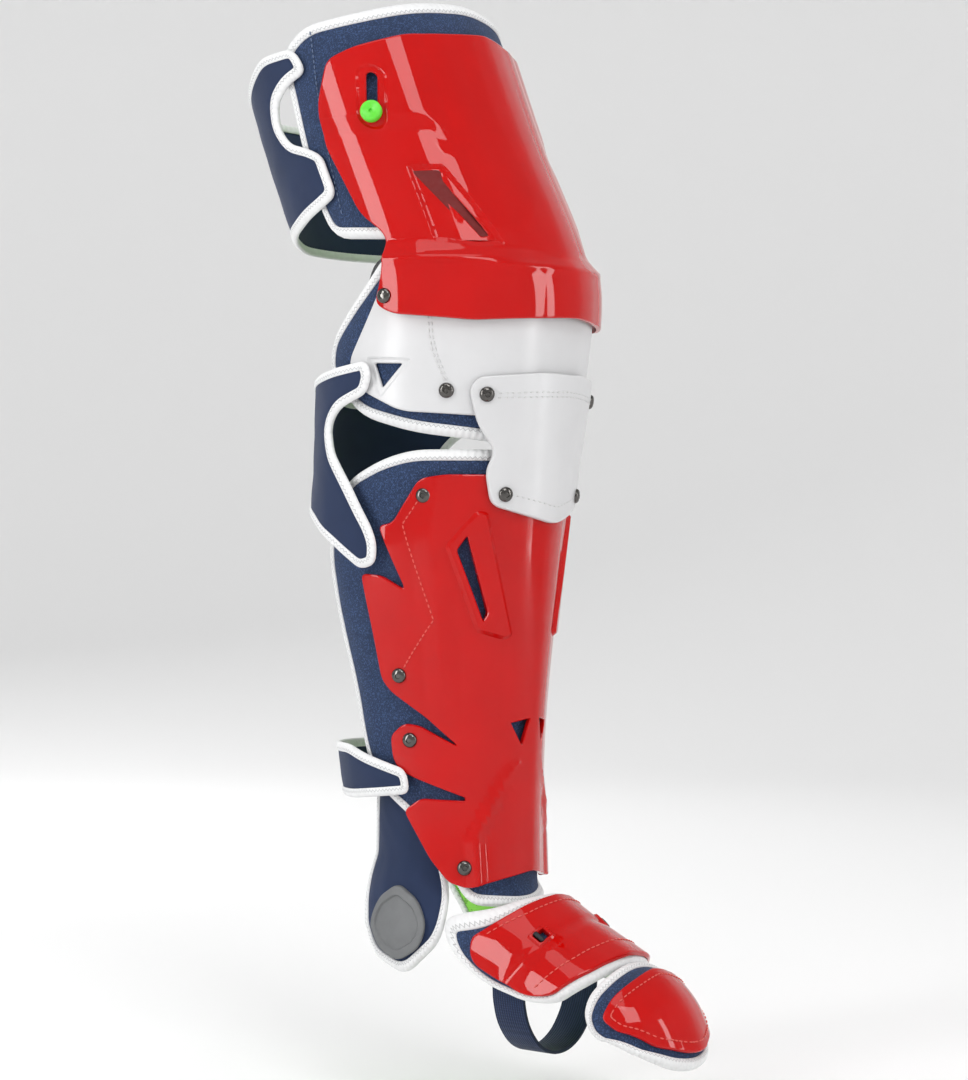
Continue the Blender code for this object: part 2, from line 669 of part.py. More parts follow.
def band_profile(path, thickness):
    """Closed outline of a bent strip from the points of its middle line."""
    left, right = [], []
    for k, point in enumerate(path):
        before, after = path[max(k - 1, 0)], path[min(k + 1, len(path) - 1)]
        way = (after - before).normalized()
        side = Vector((-way.y, way.x)) * thickness / 2
        left.append(point + side)
        right.append(point - side)
    return left + right[::-1]


def hitch(name, angle, height, lift, strap_top):
    """D-ring on a folded webbing loop, with the hook of the strap on its curved side."""
    point, round_way, out = fastener_frame(angle, height, lift)
    matrix = on_side(point + out * (RING_WIRE / 2 + WEBBING_THICKNESS + PIECE_GAP), round_way, out)
    half, wire = RING_WIDTH / 2, RING_WIRE / 2
    curve = bpy.data.curves.new(name + "_ring", "CURVE")
    curve.dimensions = "3D"
    curve.bevel_depth = wire
    curve.bevel_resolution = 0
    spline = curve.splines.new("POLY")
    ring = [(0.0, -half * 0.92), (0.0, 0.0), (0.0, half * 0.92)]
    for k in range(9):
        turn = math.radians(90 - 22.5 * k)
        ring.append((RING_DEPTH * 0.12 + RING_DEPTH * 0.88 * math.cos(turn), half * math.sin(turn)))
    spline.points.add(len(ring) - 1)
    for place, (x, y) in zip(spline.points, ring):
        place.co = (x, y, 0.0, 1.0)
    spline.use_cyclic_u = True
    holder = bpy.data.objects.new(name + "_ring", curve)
    guard.objects.link(holder)
    bpy.context.view_layer.update()
    mesh = bpy.data.meshes.new_from_object(holder)
    bpy.data.objects.remove(holder)
    bm = bmesh.new()
    bm.from_mesh(mesh)
    bmesh.ops.remove_doubles(bm, verts=bm.verts, dist=1e-6)
    face_outwards(bm)
    bm.to_mesh(mesh)
    bm.free()
    for polygon in mesh.polygons:
        polygon.use_smooth = True
    d_ring = add_object(name + "_ring", mesh, "chrome")
    d_ring.matrix_world = matrix

    middle = wire + PIECE_GAP + WEBBING_THICKNESS / 2
    bends = [(math.sin(math.radians(a)), math.cos(math.radians(a))) for a in range(0, 181, 30)]
    under = -middle + WEBBING_THICKNESS + PIECE_GAP
    fold = [Vector((-WEBBING_LENGTH, -middle))]
    fold += [Vector((middle * side, -middle * over)) for side, over in bends]
    fold += [Vector((-middle, middle * 0.9)), Vector((-middle * 2.2, under))]
    fold += [Vector((-WEBBING_LENGTH, under))]
    turn = Matrix.Rotation(math.pi / 2, 4, "X")
    fold = band_profile(fold, WEBBING_THICKNESS)
    extruded(name + "_loop", fold, WEBBING_WIDTH, "navy_webbing", matrix @ turn)

    reach = math.degrees((RING_DEPTH + HOOK_LENGTH) / UNROLL_RADIUS)
    bar_lift = strap_top + BAR_CLEARANCE + HOOK_THICKNESS / 2
    bar_point, _, bar_out = fastener_frame(angle + reach, height, bar_lift)
    start = matrix @ Vector((RING_DEPTH, 0.0, 0.0))
    length = (bar_point - start).length
    along = (bar_point - start).normalized()
    matrix = on_side(start, along, (bar_out - along * bar_out.dot(along)).normalized())
    middle = wire + HOOK_CLEARANCE + HOOK_THICKNESS / 2
    curl = [Vector((length, 0.0)), Vector((length - HOOK_BAR_WIDTH, 0.0)), Vector((middle * 1.6, middle))]
    curl += [Vector((-middle * side, middle * over)) for side, over in bends]
    bar_size = (HOOK_BAR_WIDTH, HOOK_THICKNESS * 0.98, HOOK_BAR_LENGTH)
    bar = (Vector((length - HOOK_BAR_WIDTH / 2, 0.0, 0.0)), bar_size)
    curl = band_profile(curl, HOOK_THICKNESS)
    extruded(name + "_hook", curl, HOOK_WIDTH, "gunmetal", matrix @ turn, extra=[bar])


def both_sides(places):
    return [(side, k, angle, share) for k, (angle, share) in enumerate(places) for side in (1, -1)]


def build_shells():
    shell_low, shell_high = SHELL_GAP, SHELL_GAP + SHELL_THICKNESS
    over_low, over_high = shell_high + PLATE_GAP, shell_high + PLATE_GAP + SHELL_THICKNESS
    hole = RIVET_SHANK + RIVET_CLEARANCE

    outline = rounded(laid_out(mirrored(CAP_EDGE), "knee_cap"), SHELL_CORNER)
    raised, rings = [], []
    for side in (1, -1):
        vent = CAP_VENT if side > 0 else flip(CAP_VENT)
        panel = CAP_PANEL if side > 0 else flip(CAP_PANEL)
        rings.append(rounded(laid_out(vent, "knee_cap"), VENT_CORNER))
        rings.append(round_hole(side * CAP_BAND_RIVET[0], level("knee_cap", CAP_BAND_RIVET[1]), hole))
        panel = laid_out(panel, "knee_cap")
        raised.append(flat_plate("panel", [panel], (shell_low + shell_high) / 2, shell_high + PANEL_HEIGHT))
        height = level("knee_cap", SLOT_PLACE[1])
        rings.append(slot_ring(side * SLOT_PLACE[0], height, SLOT_LENGTH, SLOT_WIDTH))
    base = join_flat(flat_plate("cap", [outline], shell_low, shell_high), raised)
    base = cut_through(base, rings)
    creases = (-KEEL_ANGLE, 0.0, KEEL_ANGLE, (BAND_TOP,), (BAND_FOOT,))
    wrap("knee_cap", base, "red_shell", on_leg, LEG_STEPS, creases, cap_relief)

    rings = [rounded(laid_out(mirrored(PLATE_EDGE), "knee_plate"), PLATE_CORNER)]
    for side in (1, -1):
        hole_edge = PLATE_HOLE if side > 0 else flip(PLATE_HOLE)
        rings.append(rounded(laid_out(hole_edge, "knee_plate"), VENT_CORNER))
        rings.append(round_hole(side * PLATE_RIVET[0], level("knee_plate", PLATE_RIVET[1]), hole))
    base = flat_plate("plate", rings, shell_low, shell_high)
    wrap("knee_plate", base, "white_shell", on_leg, LEG_STEPS, (0.0,))

    rings = [rounded(laid_out(mirrored(BRIDGE_EDGE), "bridge_plate"), SHELL_CORNER)]
    for side, _, angle, share in both_sides(BRIDGE_RIVETS):
        rings.append(round_hole(side * angle, level("bridge_plate", share), hole))
    creases = (-KEEL_ANGLE, 0.0, KEEL_ANGLE)
    base = flat_plate("bridge", rings, over_low, over_high)
    wrap("bridge_plate", base, "white_shell", on_leg, LEG_STEPS, creases, keel)

    outline = rounded(laid_out(mirrored(SHELL_EDGE), "shin_shell"), SHIN_CORNER)
    raised, rings = [], []
    for side in (1, -1):
        for edge, radius in ((SHELL_VENT, VENT_CORNER), (SHELL_NOTCH, NOTCH_CORNER)):
            vent = edge if side > 0 else flip(edge)
            rings.append(rounded(laid_out(vent, "shin_shell"), radius))
        frame = laid_out(SHELL_FRAME if side > 0 else flip(SHELL_FRAME), "shin_shell")
        raised.append(flat_plate("frame", [frame], (shell_low + shell_high) / 2, shell_high + FRAME_HEIGHT))
    for side, _, angle, share in both_sides(SHELL_RIVETS):
        rings.append(round_hole(side * angle, level("shin_shell", share), hole))
    base = join_flat(flat_plate("shin", [outline], shell_low, shell_high), raised)
    base = cut_through(base, rings)
    wrap("shin_shell", base, "red_shell", on_leg, LEG_STEPS, creases, keel)

    side_name = {1: "right", -1: "left"}
    for side in (1, -1):
        name = side_name[side]
        height = level("knee_cap", CAP_BAND_RIVET[1])
        lift = shell_high + cap_relief(CAP_BAND_RIVET[0], height)
        rivet("cap_rivet_" + name, side * CAP_BAND_RIVET[0], height, lift)
        rivet("plate_rivet_" + name, side * PLATE_RIVET[0], level("knee_plate", PLATE_RIVET[1]), shell_high)
        height = level("knee_cap", KNOB_PLACE[1])
        knob("cap_knob_" + name, side * KNOB_PLACE[0], height, shell_high + PANEL_HEIGHT)
    for side, k, angle, share in both_sides(BRIDGE_RIVETS):
        height = level("bridge_plate", share)
        rivet(f"bridge_rivet_{side_name[side]}_{k + 1}", side * angle, height, over_high)
    for side, k, angle, share in both_sides(SHELL_RIVETS):
        rivet(f"shin_rivet_{side_name[side]}_{k + 1}", side * angle, level("shin_shell", share), shell_high)


def build_pads():
    low = -PAD_THICKNESS
    tongue = ((TONGUE_TOP,), (TONGUE_FOOT,))
    for name, edge in (("thigh_pad", THIGH_EDGE), ("knee_pad", KNEE_PAD_EDGE), ("shin_pad", SHIN_PAD_EDGE)):
        points = laid_out(mirrored(edge), name)
        pad(name, points, PAD_CORNER, on_leg, LEG_STEPS, low, 0.0, tongue, tongue_relief)

    liner_high = low - BINDING_PROUD - LINER_GAP
    liner_low = liner_high - LINER_THICKNESS
    for name, edge, thickness in (
        ("knee_liner", KNEE_LINER_EDGE, LINER_THICKNESS),
        ("shin_liner", SHIN_LINER_EDGE, SHIN_LINER_THICKNESS),
    ):
        ring = rounded(laid_out(mirrored(edge), name), LINER_CORNER, 2)
        base = flat_plate(name, [ring], liner_high - thickness, liner_high)
        wrap(name, base, "grey_mesh", on_leg, LEG_STEPS)
    ring = rounded(laid_out(mirrored(GEL_EDGE), "knee_liner"), SHELL_CORNER, 2)
    gel = flat_plate("gel_pad", [ring], liner_low - GEL_GAP - GEL_THICKNESS, liner_low - GEL_GAP)
    wrap("gel_pad", gel, "green_gel", on_leg, LEG_STEPS)

    flare = ((FLARE_TOP,), (FLARE_FOOT,))
    wing_high = -PAD_THICKNESS - BINDING_PROUD - PIECE_GAP * 2
    for side, name in ((1, "right"), (-1, "left")):
        outline = WING_EDGE if side > 0 else flip(WING_EDGE)
        ring = rounded(laid_out(outline, "ankle_wing"), WING_CORNER)
        flap = flat_plate("wing", [ring], wing_high - WING_THICKNESS, wing_high)
        wrap("ankle_wing_" + name, flap, "navy_fabric", on_leg, LEG_STEPS, flare, wing_relief)
        outline = PATCH_EDGE if side > 0 else flip(PATCH_EDGE)
        ring = rounded(laid_out(outline, "ankle_wing"), SHELL_CORNER)
        patch = flat_plate("patch", [ring], wing_high + PIECE_GAP, wing_high + PIECE_GAP + PATCH_THICKNESS)
        wrap("ankle_patch_" + name, patch, "grey_rubber", on_leg, LEG_STEPS, flare, wing_relief)


def build_foot():
    shell_low = -SHELL_THICKNESS
    pad_high = shell_low - PLATE_GAP
    for name, edge in (("instep_pad", INSTEP_PAD_EDGE), ("toe_pad", TOE_PAD_EDGE)):
        points = laid_on_foot(edge)
        pad(name, points, FOOT_PAD_CORNER, on_foot, FOOT_STEPS, pad_high - PAD_THICKNESS, pad_high)
    for name, edge in (("instep_shell", INSTEP_EDGE), ("toe_shell", TOE_EDGE)):
        ring = rounded(laid_on_foot(edge), SHELL_CORNER)
        wrap(name, flat_plate(name, [ring], shell_low, 0.0), "red_shell", on_foot, FOOT_STEPS, (0.0,))


def build_straps():
    low = STRAP_LIFT
    over_shell = SHELL_GAP + SHELL_THICKNESS + PIECE_GAP * 2
    for name, edge, lift, relief in (
        ("thigh_strap", THIGH_STRAP_EDGE, low, None),
        ("calf_strap", CALF_STRAP_EDGE, low, calf_relief),
        ("ankle_strap", ANKLE_STRAP_EDGE, over_shell, None),
    ):
        points = [Vector((across(angle), share * GUARD_HEIGHT)) for angle, share in edge]
        ring = rounded(points, STRAP_CORNER, 2)
        base = flat_plate(name, [ring], lift, lift + STRAP_THICKNESS)
        wrap(name, base, "navy_strap", on_leg, LEG_STEPS, (), relief)
    for name, place in HITCHES.items():
        hitch(name, place.angle, place.height * GUARD_HEIGHT, place.lift, STRAP_LIFT + STRAP_THICKNESS)

    half = FOOT_WIDTH / 2 - FOOT_STRAP_INSET
    sag = FOOT_STRAP_SAG + [(-x, z) for x, z in reversed(FOOT_STRAP_SAG[:-1])]
    path = [Vector((x * half, z * FOOT_STRAP_DROP)) for x, z in sag]
    forward, drop = FOOT_STRAP_PLACE
    place = Matrix.Translation((0.0, -forward * GUARD_HEIGHT, -drop * GUARD_HEIGHT))
    place = place @ Matrix.Rotation(math.pi / 2, 4, "X")
    extruded("foot_strap", band_profile(path, FOOT_STRAP_THICKNESS), FOOT_STRAP_WIDTH, "navy_webbing", place)


for thing in list(bpy.data.objects):
    bpy.data.objects.remove(thing)
guard = bpy.data.collections.new("leg_guard")
bpy.context.scene.collection.children.link(guard)
cutters = bpy.data.collections.new("cutters")
bpy.context.scene.collection.children.link(cutters)

build_shells()
build_pads()
build_foot()
build_straps()
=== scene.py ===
"""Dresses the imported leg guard: moulded shells, padded panels, bindings, straps, stitching and studio."""

import math
from collections import namedtuple

import bmesh
import bpy
import numpy as np
from bpy.props import FloatProperty, FloatVectorProperty, PointerProperty
from bpy.types import Operator, Panel, PropertyGroup
from mathutils import Matrix, Vector


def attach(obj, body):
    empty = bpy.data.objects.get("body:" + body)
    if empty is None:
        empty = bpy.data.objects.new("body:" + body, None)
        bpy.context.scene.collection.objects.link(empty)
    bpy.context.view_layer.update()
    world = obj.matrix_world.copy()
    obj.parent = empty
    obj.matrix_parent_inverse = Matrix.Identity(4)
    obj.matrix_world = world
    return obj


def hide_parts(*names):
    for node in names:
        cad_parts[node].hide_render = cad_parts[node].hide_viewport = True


bl_info = {
    "name": "Leg Guard Dressing",
    "version": (1, 0, 0),
    "blender": (4, 5, 0),
    "location": "View3D > Sidebar > Leg Guard",
    "description": "Dresses the leg guard with its shells, padded panels, straps, stitching and finishes",
    "category": "Object",
}

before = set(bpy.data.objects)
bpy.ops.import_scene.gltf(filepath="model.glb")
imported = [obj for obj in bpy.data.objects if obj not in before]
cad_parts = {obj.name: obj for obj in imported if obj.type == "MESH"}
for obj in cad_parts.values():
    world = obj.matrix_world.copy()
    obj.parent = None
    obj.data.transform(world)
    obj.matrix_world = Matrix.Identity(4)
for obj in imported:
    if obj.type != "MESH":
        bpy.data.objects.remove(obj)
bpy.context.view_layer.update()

GRID = 0.0036
FINE = 0.0024
HALF_DEGREE = math.radians(0.5)
PIECE_GAP = 0.0004
PLATE_GAP = 0.0010
LINER_GAP = 0.0012
GEL_GAP = 0.0022

Form = namedtuple("Form", "height half_width front back set_back roundness")
# height in shares of the guard's height, half width of the knee's width, the others of the knee's depth
LEG_FORM = [
    Form(-0.700, 0.325, 0.325, 0.325, 0.000, 2.00),
    Form(-0.656, 0.329, 0.329, 0.329, 0.000, 2.00),
    Form(-0.539, 0.342, 0.341, 0.341, 0.030, 1.90),
    Form(-0.469, 0.349, 0.366, 0.310, 0.055, 1.85),
    Form(-0.375, 0.375, 0.415, 0.345, 0.085, 1.85),
    Form(-0.234, 0.454, 0.488, 0.400, 0.110, 1.95),
    Form(-0.156, 0.467, 0.488, 0.410, 0.073, 2.00),
    Form(-0.078, 0.487, 0.482, 0.450, 0.024, 2.05),
    Form(0.000, 0.500, 0.488, 0.495, 0.006, 2.10),
    Form(0.047, 0.507, 0.500, 0.512, 0.061, 2.10),
    Form(0.141, 0.513, 0.482, 0.500, 0.220, 2.10),
    Form(0.234, 0.520, 0.470, 0.488, 0.360, 2.10),
    Form(0.290, 0.520, 0.470, 0.488, 0.443, 2.10),
]

Ridge = namedtuple("Ridge", "along forward drop half_width side_drop")
# along, forward and drop in shares of the guard's height, the others of the foot's width
FOOT_FORM = [
    Ridge(0.000, 0.092, 0.523, 0.500, 0.500),
    Ridge(0.024, 0.108, 0.542, 0.500, 0.480),
    Ridge(0.076, 0.152, 0.569, 0.500, 0.420),
    Ridge(0.127, 0.198, 0.592, 0.490, 0.370),
    Ridge(0.162, 0.229, 0.609, 0.470, 0.370),
    Ridge(0.192, 0.251, 0.630, 0.460, 0.360),
    Ridge(0.221, 0.265, 0.655, 0.440, 0.340),
    Ridge(0.244, 0.273, 0.677, 0.420, 0.310),
    Ridge(0.270, 0.281, 0.702, 0.400, 0.300),
]

Place = namedtuple("Place", "top height")
# Top and height of each outline, in shares of the guard's height
PLACES = {
    "thigh_pad": Place(0.2750, 0.2344),
    "knee_cap": Place(0.2437, 0.2687),
    "knee_pad": Place(0.0344, 0.1750),
    "knee_plate": Place(0.0125, 0.1266),
    "bridge_plate": Place(-0.0703, 0.1406),
    "shin_pad": Place(-0.1437, 0.4000),
    "shin_shell": Place(-0.1625, 0.3781),
    "knee_liner": Place(0.0469, 0.1531),
    "shin_liner": Place(-0.1906, 0.2063),
    "ankle_wing": Place(-0.4187, 0.2031),
}

# Half outlines: degrees round from the front, share of the piece's height down from its top
OUTLINES = {
    "thigh_pad": [
        (0, 0.0), (33, 0.03), (58, 0.08), (84, 0.12), (100, 0.22), (103, 0.45), (108, 0.78), (106, 0.96),
        (76, 0.98), (0, 1.0),
    ],
    "knee_cap": [
        (0, 0.0), (39, 0.03), (62, 0.08), (74, 0.12), (84, 0.27), (88, 0.41), (86, 0.50), (83, 0.65),
        (74, 0.73), (84, 0.96), (76, 0.995), (44, 1.02), (0, 1.0),
    ],
    "knee_pad": [
        (0, 0.0), (80, 0.02), (90, 0.12), (106, 0.29), (120, 0.44), (122, 0.60), (95, 0.84), (65, 0.93),
        (29, 0.98), (0, 1.0),
    ],
    "knee_plate": [
        (0, 0.0), (80, 0.0), (87, 0.20), (101, 0.62), (93, 0.80), (71, 0.965), (38, 1.0), (0, 1.0),
    ],
    "bridge_plate": [
        (0, 0.04), (12, 0.03), (40, 0.07), (43, 0.15), (38, 0.36), (29, 0.54), (32, 0.66), (28, 0.88),
        (0, 1.0),
    ],
    "shin_pad": [
        (0, 0.0), (64, 0.0), (80, 0.02), (102, 0.07), (114, 0.22), (113, 0.38), (108, 0.55), (106, 0.67),
        (98, 0.76), (68, 0.85), (52, 0.94), (40, 1.03), (0, 1.045),
    ],
    "shin_shell": [
        (0, 0.01), (48, 0.01), (59, 0.02), (69, 0.125), (76, 0.13), (63, 0.285), (75, 0.25), (86, 0.245),
        (83, 0.38), (81, 0.50), (76, 0.53), (57, 0.59), (40, 0.66), (61, 0.61), (70, 0.605), (79, 0.635),
        (79, 0.69), (75, 0.72), (64, 0.74), (38, 0.782), (38, 0.790), (64, 0.785), (75, 0.815), (61, 0.93),
        (51, 0.985), (40, 1.0), (0, 0.965),
    ],
    "knee_liner": [
        (0, 0.0), (60, 0.02), (92, 0.12), (104, 0.36), (104, 0.62), (84, 0.86), (50, 0.98), (0, 1.0),
    ],
    "shin_liner": [(0, 0.0), (60, 0.0), (98, 0.04), (102, 0.20), (88, 0.62), (72, 0.92), (56, 1.0), (0, 1.0)],
    "gel_pad": [(0, 0.20), (34, 0.20), (40, 0.28), (22, 0.58), (8, 0.84), (0, 0.87)],
}
WING_EDGE = [
    (106, 0.0), (62, 0.06), (60, 0.34), (50, 0.62), (58, 0.84), (84, 1.0), (112, 0.93), (132, 0.64),
    (124, 0.30),
]
PATCH_EDGE = [
    (88, 0.59), (72, 0.66), (66, 0.77), (72, 0.87), (87, 0.935), (103, 0.88), (110, 0.77), (104, 0.66),
]
# Half outlines on the foot: degrees round from the ridge, share of the guard's height along the ridge
FOOT_OUTLINES = {
    "instep_pad": [
        (0, 0.024), (44, 0.018), (80, 0.006), (92, 0.018), (96, 0.050), (92, 0.090), (78, 0.116), (40, 0.128),
        (0, 0.131),
    ],
    "instep_shell": [
        (0, 0.034), (40, 0.030), (72, 0.023), (84, 0.034), (84, 0.090), (74, 0.110), (36, 0.124), (0, 0.128),
    ],
    "toe_pad": [
        (0, 0.1298), (56, 0.136), (76, 0.146), (86, 0.172), (80, 0.202), (52, 0.232), (24, 0.248), (0, 0.252),
    ],
    "toe_shell": [(0, 0.153), (48, 0.158), (66, 0.168), (62, 0.194), (38, 0.224), (12, 0.236), (0, 0.238)],
}
# Whole outlines of the straps: degrees from the right (90) by the back to the left (270), heights in shares
STRAPS = {
    "thigh_strap": [
        (119, 0.1891), (150, 0.1844), (200, 0.1830), (232, 0.2062), (250, 0.2234), (271, 0.2266),
        (274, 0.2031), (262, 0.1938), (251, 0.1781), (247, 0.1562), (251, 0.1406), (262, 0.1328),
        (268, 0.1250), (268, 0.0875), (258, 0.0781), (236, 0.0625), (200, 0.0484), (150, 0.0484),
        (126, 0.0391), (115, 0.0469), (111, 0.0656),
        (114, 0.0844), (130, 0.0938), (140, 0.1062), (142, 0.1250), (134, 0.1437), (119, 0.1531),
    ],
    "calf_strap": [
        (105, -0.0719), (126, -0.0812), (150, -0.0891), (180, -0.0906), (220, -0.0781), (272, -0.0641),
        (275, -0.0766), (273, -0.0938), (258, -0.1062), (252, -0.1219), (256, -0.1437), (269, -0.1750),
        (282, -0.2125), (285, -0.2281), (284, -0.2469), (276, -0.2516), (260, -0.2281), (240, -0.2062),
        (216, -0.1969), (180, -0.1844), (150, -0.1875), (130, -0.2125), (112, -0.2375), (105, -0.2344),
        (105, -0.2156), (122, -0.1844), (130, -0.1531), (122, -0.1281), (105, -0.1062),
    ],
    "ankle_strap": [
        (72, -0.4313), (110, -0.4219), (180, -0.4156), (250, -0.4125), (290, -0.4328), (291, -0.4547),
        (250, -0.4625), (180, -0.4656), (110, -0.4719), (72, -0.4750),
    ],
}

# Openings and fastener places of the shells: degrees round, share down
VENT_BACKING_REACH = 0.0034
VENT_FOLD = 0.0012
CAP_VENT = [(51, 0.53), (45, 0.53), (32.5, 0.735), (36, 0.74)]
CAP_POCKET = [(56, 0.49), (41, 0.49), (27, 0.765), (38, 0.775), (55, 0.755)]
CAP_BAND_RIVET = (79, 0.935)
KNOB_PLACE = (62, 0.310)
SLOT_PLACE = (60.2, 0.255)
SLOT_TILT = 15
PLATE_HOLE = [(86, 0.62), (72, 0.63), (81, 0.80)]
SHELL_VENT = [(36, 0.155), (40, 0.19), (28, 0.36), (26, 0.34)]
SHELL_FRAME = [(45, 0.18), (33, 0.095), (28, 0.10), (14, 0.395), (18, 0.405), (31, 0.385)]
SHELL_NOTCH = [(13, 0.605), (3, 0.595), (7, 0.66)]
PLATE_RIVET = (52, 0.825)
BRIDGE_RIVETS = [(36, 0.18), (23, 0.81)]
SHELL_RIVETS = [(56, 0.06), (70, 0.49), (67, 0.645), (41, 0.95)]

Hitch = namedtuple("Hitch", "angle height lift")
HITCHES = {
    "thigh_upper": Hitch(101, 0.1750, 0.0009),
    "thigh_lower": Hitch(100, 0.0672, 0.0009),
    "calf_upper": Hitch(83, -0.0875, 0.0052),
    "calf_lower": Hitch(90, -0.2266, 0.0009),
}

# Rows of stitches: degrees round and height in shares of the guard's height, with the lift in metres
STITCHES = {
    "plate_stitches": ("white_thread", 0.0046, [
        [(62, -0.024), (61, -0.042), (59, -0.058), (53, -0.084)],
        [(60.6, -0.024), (59.6, -0.042), (57.6, -0.058), (51.8, -0.084)],
    ]),
    "bridge_stitches": ("white_thread", 0.0082, [
        [(32, -0.0945), (14, -0.0925), (0, -0.0915)], [(32, -0.0985), (14, -0.0965), (0, -0.0955)],
        [(19, -0.1850), (0, -0.1950)],
    ]),
    "shell_stitches": ("red_thread", 0.0046, [[(58, -0.190), (64, -0.211), (50, -0.297), (67, -0.341)]]),
    "thigh_seams": ("navy_thread", 0.0010, [
        [(79, 0.2420), (80, 0.2300), (84, 0.1900), (89, 0.1300), (94, 0.0700)],
    ]),
}
FOOT_STITCHES = [
    [(-62, 0.030), (-30, 0.040), (0, 0.043), (30, 0.040), (62, 0.030)],
    [(-74, 0.094), (-36, 0.104), (0, 0.108), (36, 0.104), (74, 0.094)],
]
FOOT_BUCKLES = [(38, 0.066), (-38, 0.066)]


class GuardSizes(PropertyGroup):
    """Sizes of the guard that the dressing follows."""

    def length(label, words, value):
        return FloatProperty(
            name=label, description=words, default=value, min=0.0, precision=5, unit="LENGTH",
        )

    guard_height: length("Guard height", "Height that the pieces' places are shares of", 0.640)
    knee_width: length("Knee width", "Width of the leg form at the knee", 0.152)
    knee_depth: length("Knee depth", "Depth of the leg form at the knee", 0.164)
    foot_width: length("Foot width", "Width of the foot form", 0.100)
    pad_thickness: length("Pad thickness", "Foam, cover and lining of a pad", 0.008)
    binding_width: length("Binding width", "Width of the tape round each edge", 0.0065)
    shell_thickness: length("Shell thickness", "Wall of the moulded shells", 0.0028)
    shell_gap: length("Shell gap", "Room between a pad and the shell on it", 0.0016)
    strap_thickness: length("Strap thickness", "Thickness of the stretch straps", 0.0035)
    strap_lift: length("Strap lift", "Room between the leg form and a strap", 0.0012)
    liner_thickness: length("Liner thickness", "Thickness of the knee liner", 0.011)


class GuardColours(PropertyGroup):
    """Colours of the guard's finishes."""

    def colour(label, words, value):
        return FloatVectorProperty(
            name=label, description=words, default=value, size=3, min=0.0, max=1.0, subtype="COLOR"
        )

    red: colour("Red", "Gloss shells", (0.470, 0.0020, 0.0012))
    white: colour("White", "Satin plates", (0.610, 0.610, 0.618))
    navy: colour("Navy", "Woven pad covers", (0.022, 0.039, 0.088))
    strap: colour("Strap navy", "Stretch straps", (0.012, 0.024, 0.066))
    webbing: colour("Webbing navy", "Ribbed webbing", (0.012, 0.022, 0.058))
    tape: colour("Tape", "Edge bindings", (0.800, 0.805, 0.810))
    lime: colour("Lime", "Spacer mesh linings", (0.270, 0.680, 0.090))
    charcoal: colour("Charcoal", "Dark mesh liners", (0.036, 0.037, 0.040))
    gel: colour("Gel", "Gel cushion", (0.270, 0.520, 0.120))
    knob: colour("Knob", "Cap knobs", (0.110, 0.640, 0.035))
    rubber: colour("Rubber", "Ankle patches", (0.135, 0.140, 0.144))


def smooth_rows(table, count=900):
    """Places in a table's first column, and its other columns on smooth curves through the rows."""
    rows = np.array(table, float)
    places = np.linspace(rows[0, 0], rows[-1, 0], count)
    slopes = np.gradient(rows[:, 1:], rows[:, 0], axis=0, edge_order=1)
    for k in range(1, len(rows) - 1):
        slopes[k] = (rows[k + 1, 1:] - rows[k - 1, 1:]) / (rows[k + 1, 0] - rows[k - 1, 0])
    k = np.clip(np.searchsorted(rows[:, 0], places, side="right") - 1, 0, len(rows) - 2)
    span = (rows[k + 1, 0] - rows[k, 0])[:, None]
    t = (places - rows[k, 0])[:, None] / span
    values = (2 * t**3 - 3 * t**2 + 1) * rows[k, 1:] + (t**3 - 2 * t**2 + t) * slopes[k] * span
    values += (3 * t**2 - 2 * t**3) * rows[k + 1, 1:] + (t**3 - t**2) * slopes[k + 1] * span
    return places, values


def unit(vectors):
    return vectors / np.linalg.norm(vectors, axis=-1, keepdims=True)


def stack(*columns):
    return np.stack(np.broadcast_arrays(*columns), axis=-1)


class LegForm:
    """The leg that flat pieces are bent round: x is the way round, y the height, lift the way out."""

    def __init__(self, sizes):
        self.sizes = sizes
        self.radius = (sizes.knee_width + sizes.knee_depth) / 4
        self.places, self.columns = smooth_rows(LEG_FORM)

    def ring(self, turn, height):
        share = height / self.sizes.guard_height
        width, front, back, set_back, power = (np.interp(share, self.places, c) for c in self.columns.T)
        side, ahead = np.sin(turn), np.cos(turn)
        depth = np.where(ahead >= 0, front, back) * self.sizes.knee_depth
        across = np.abs(side) / (width * self.sizes.knee_width)
        reach = (across**power + (np.abs(ahead) / depth) ** power) ** (-1 / power)
        return stack(reach * side, set_back * self.sizes.knee_depth - reach * ahead, height)

    def place(self, x, y, lift):
        turn = x / self.radius
        way = unit(self.ring(turn + HALF_DEGREE, y) - self.ring(turn - HALF_DEGREE, y))
        out = stack(way[..., 1], -way[..., 0], 0.0)
        return self.ring(turn, y) + out * np.asarray(lift)[..., None]


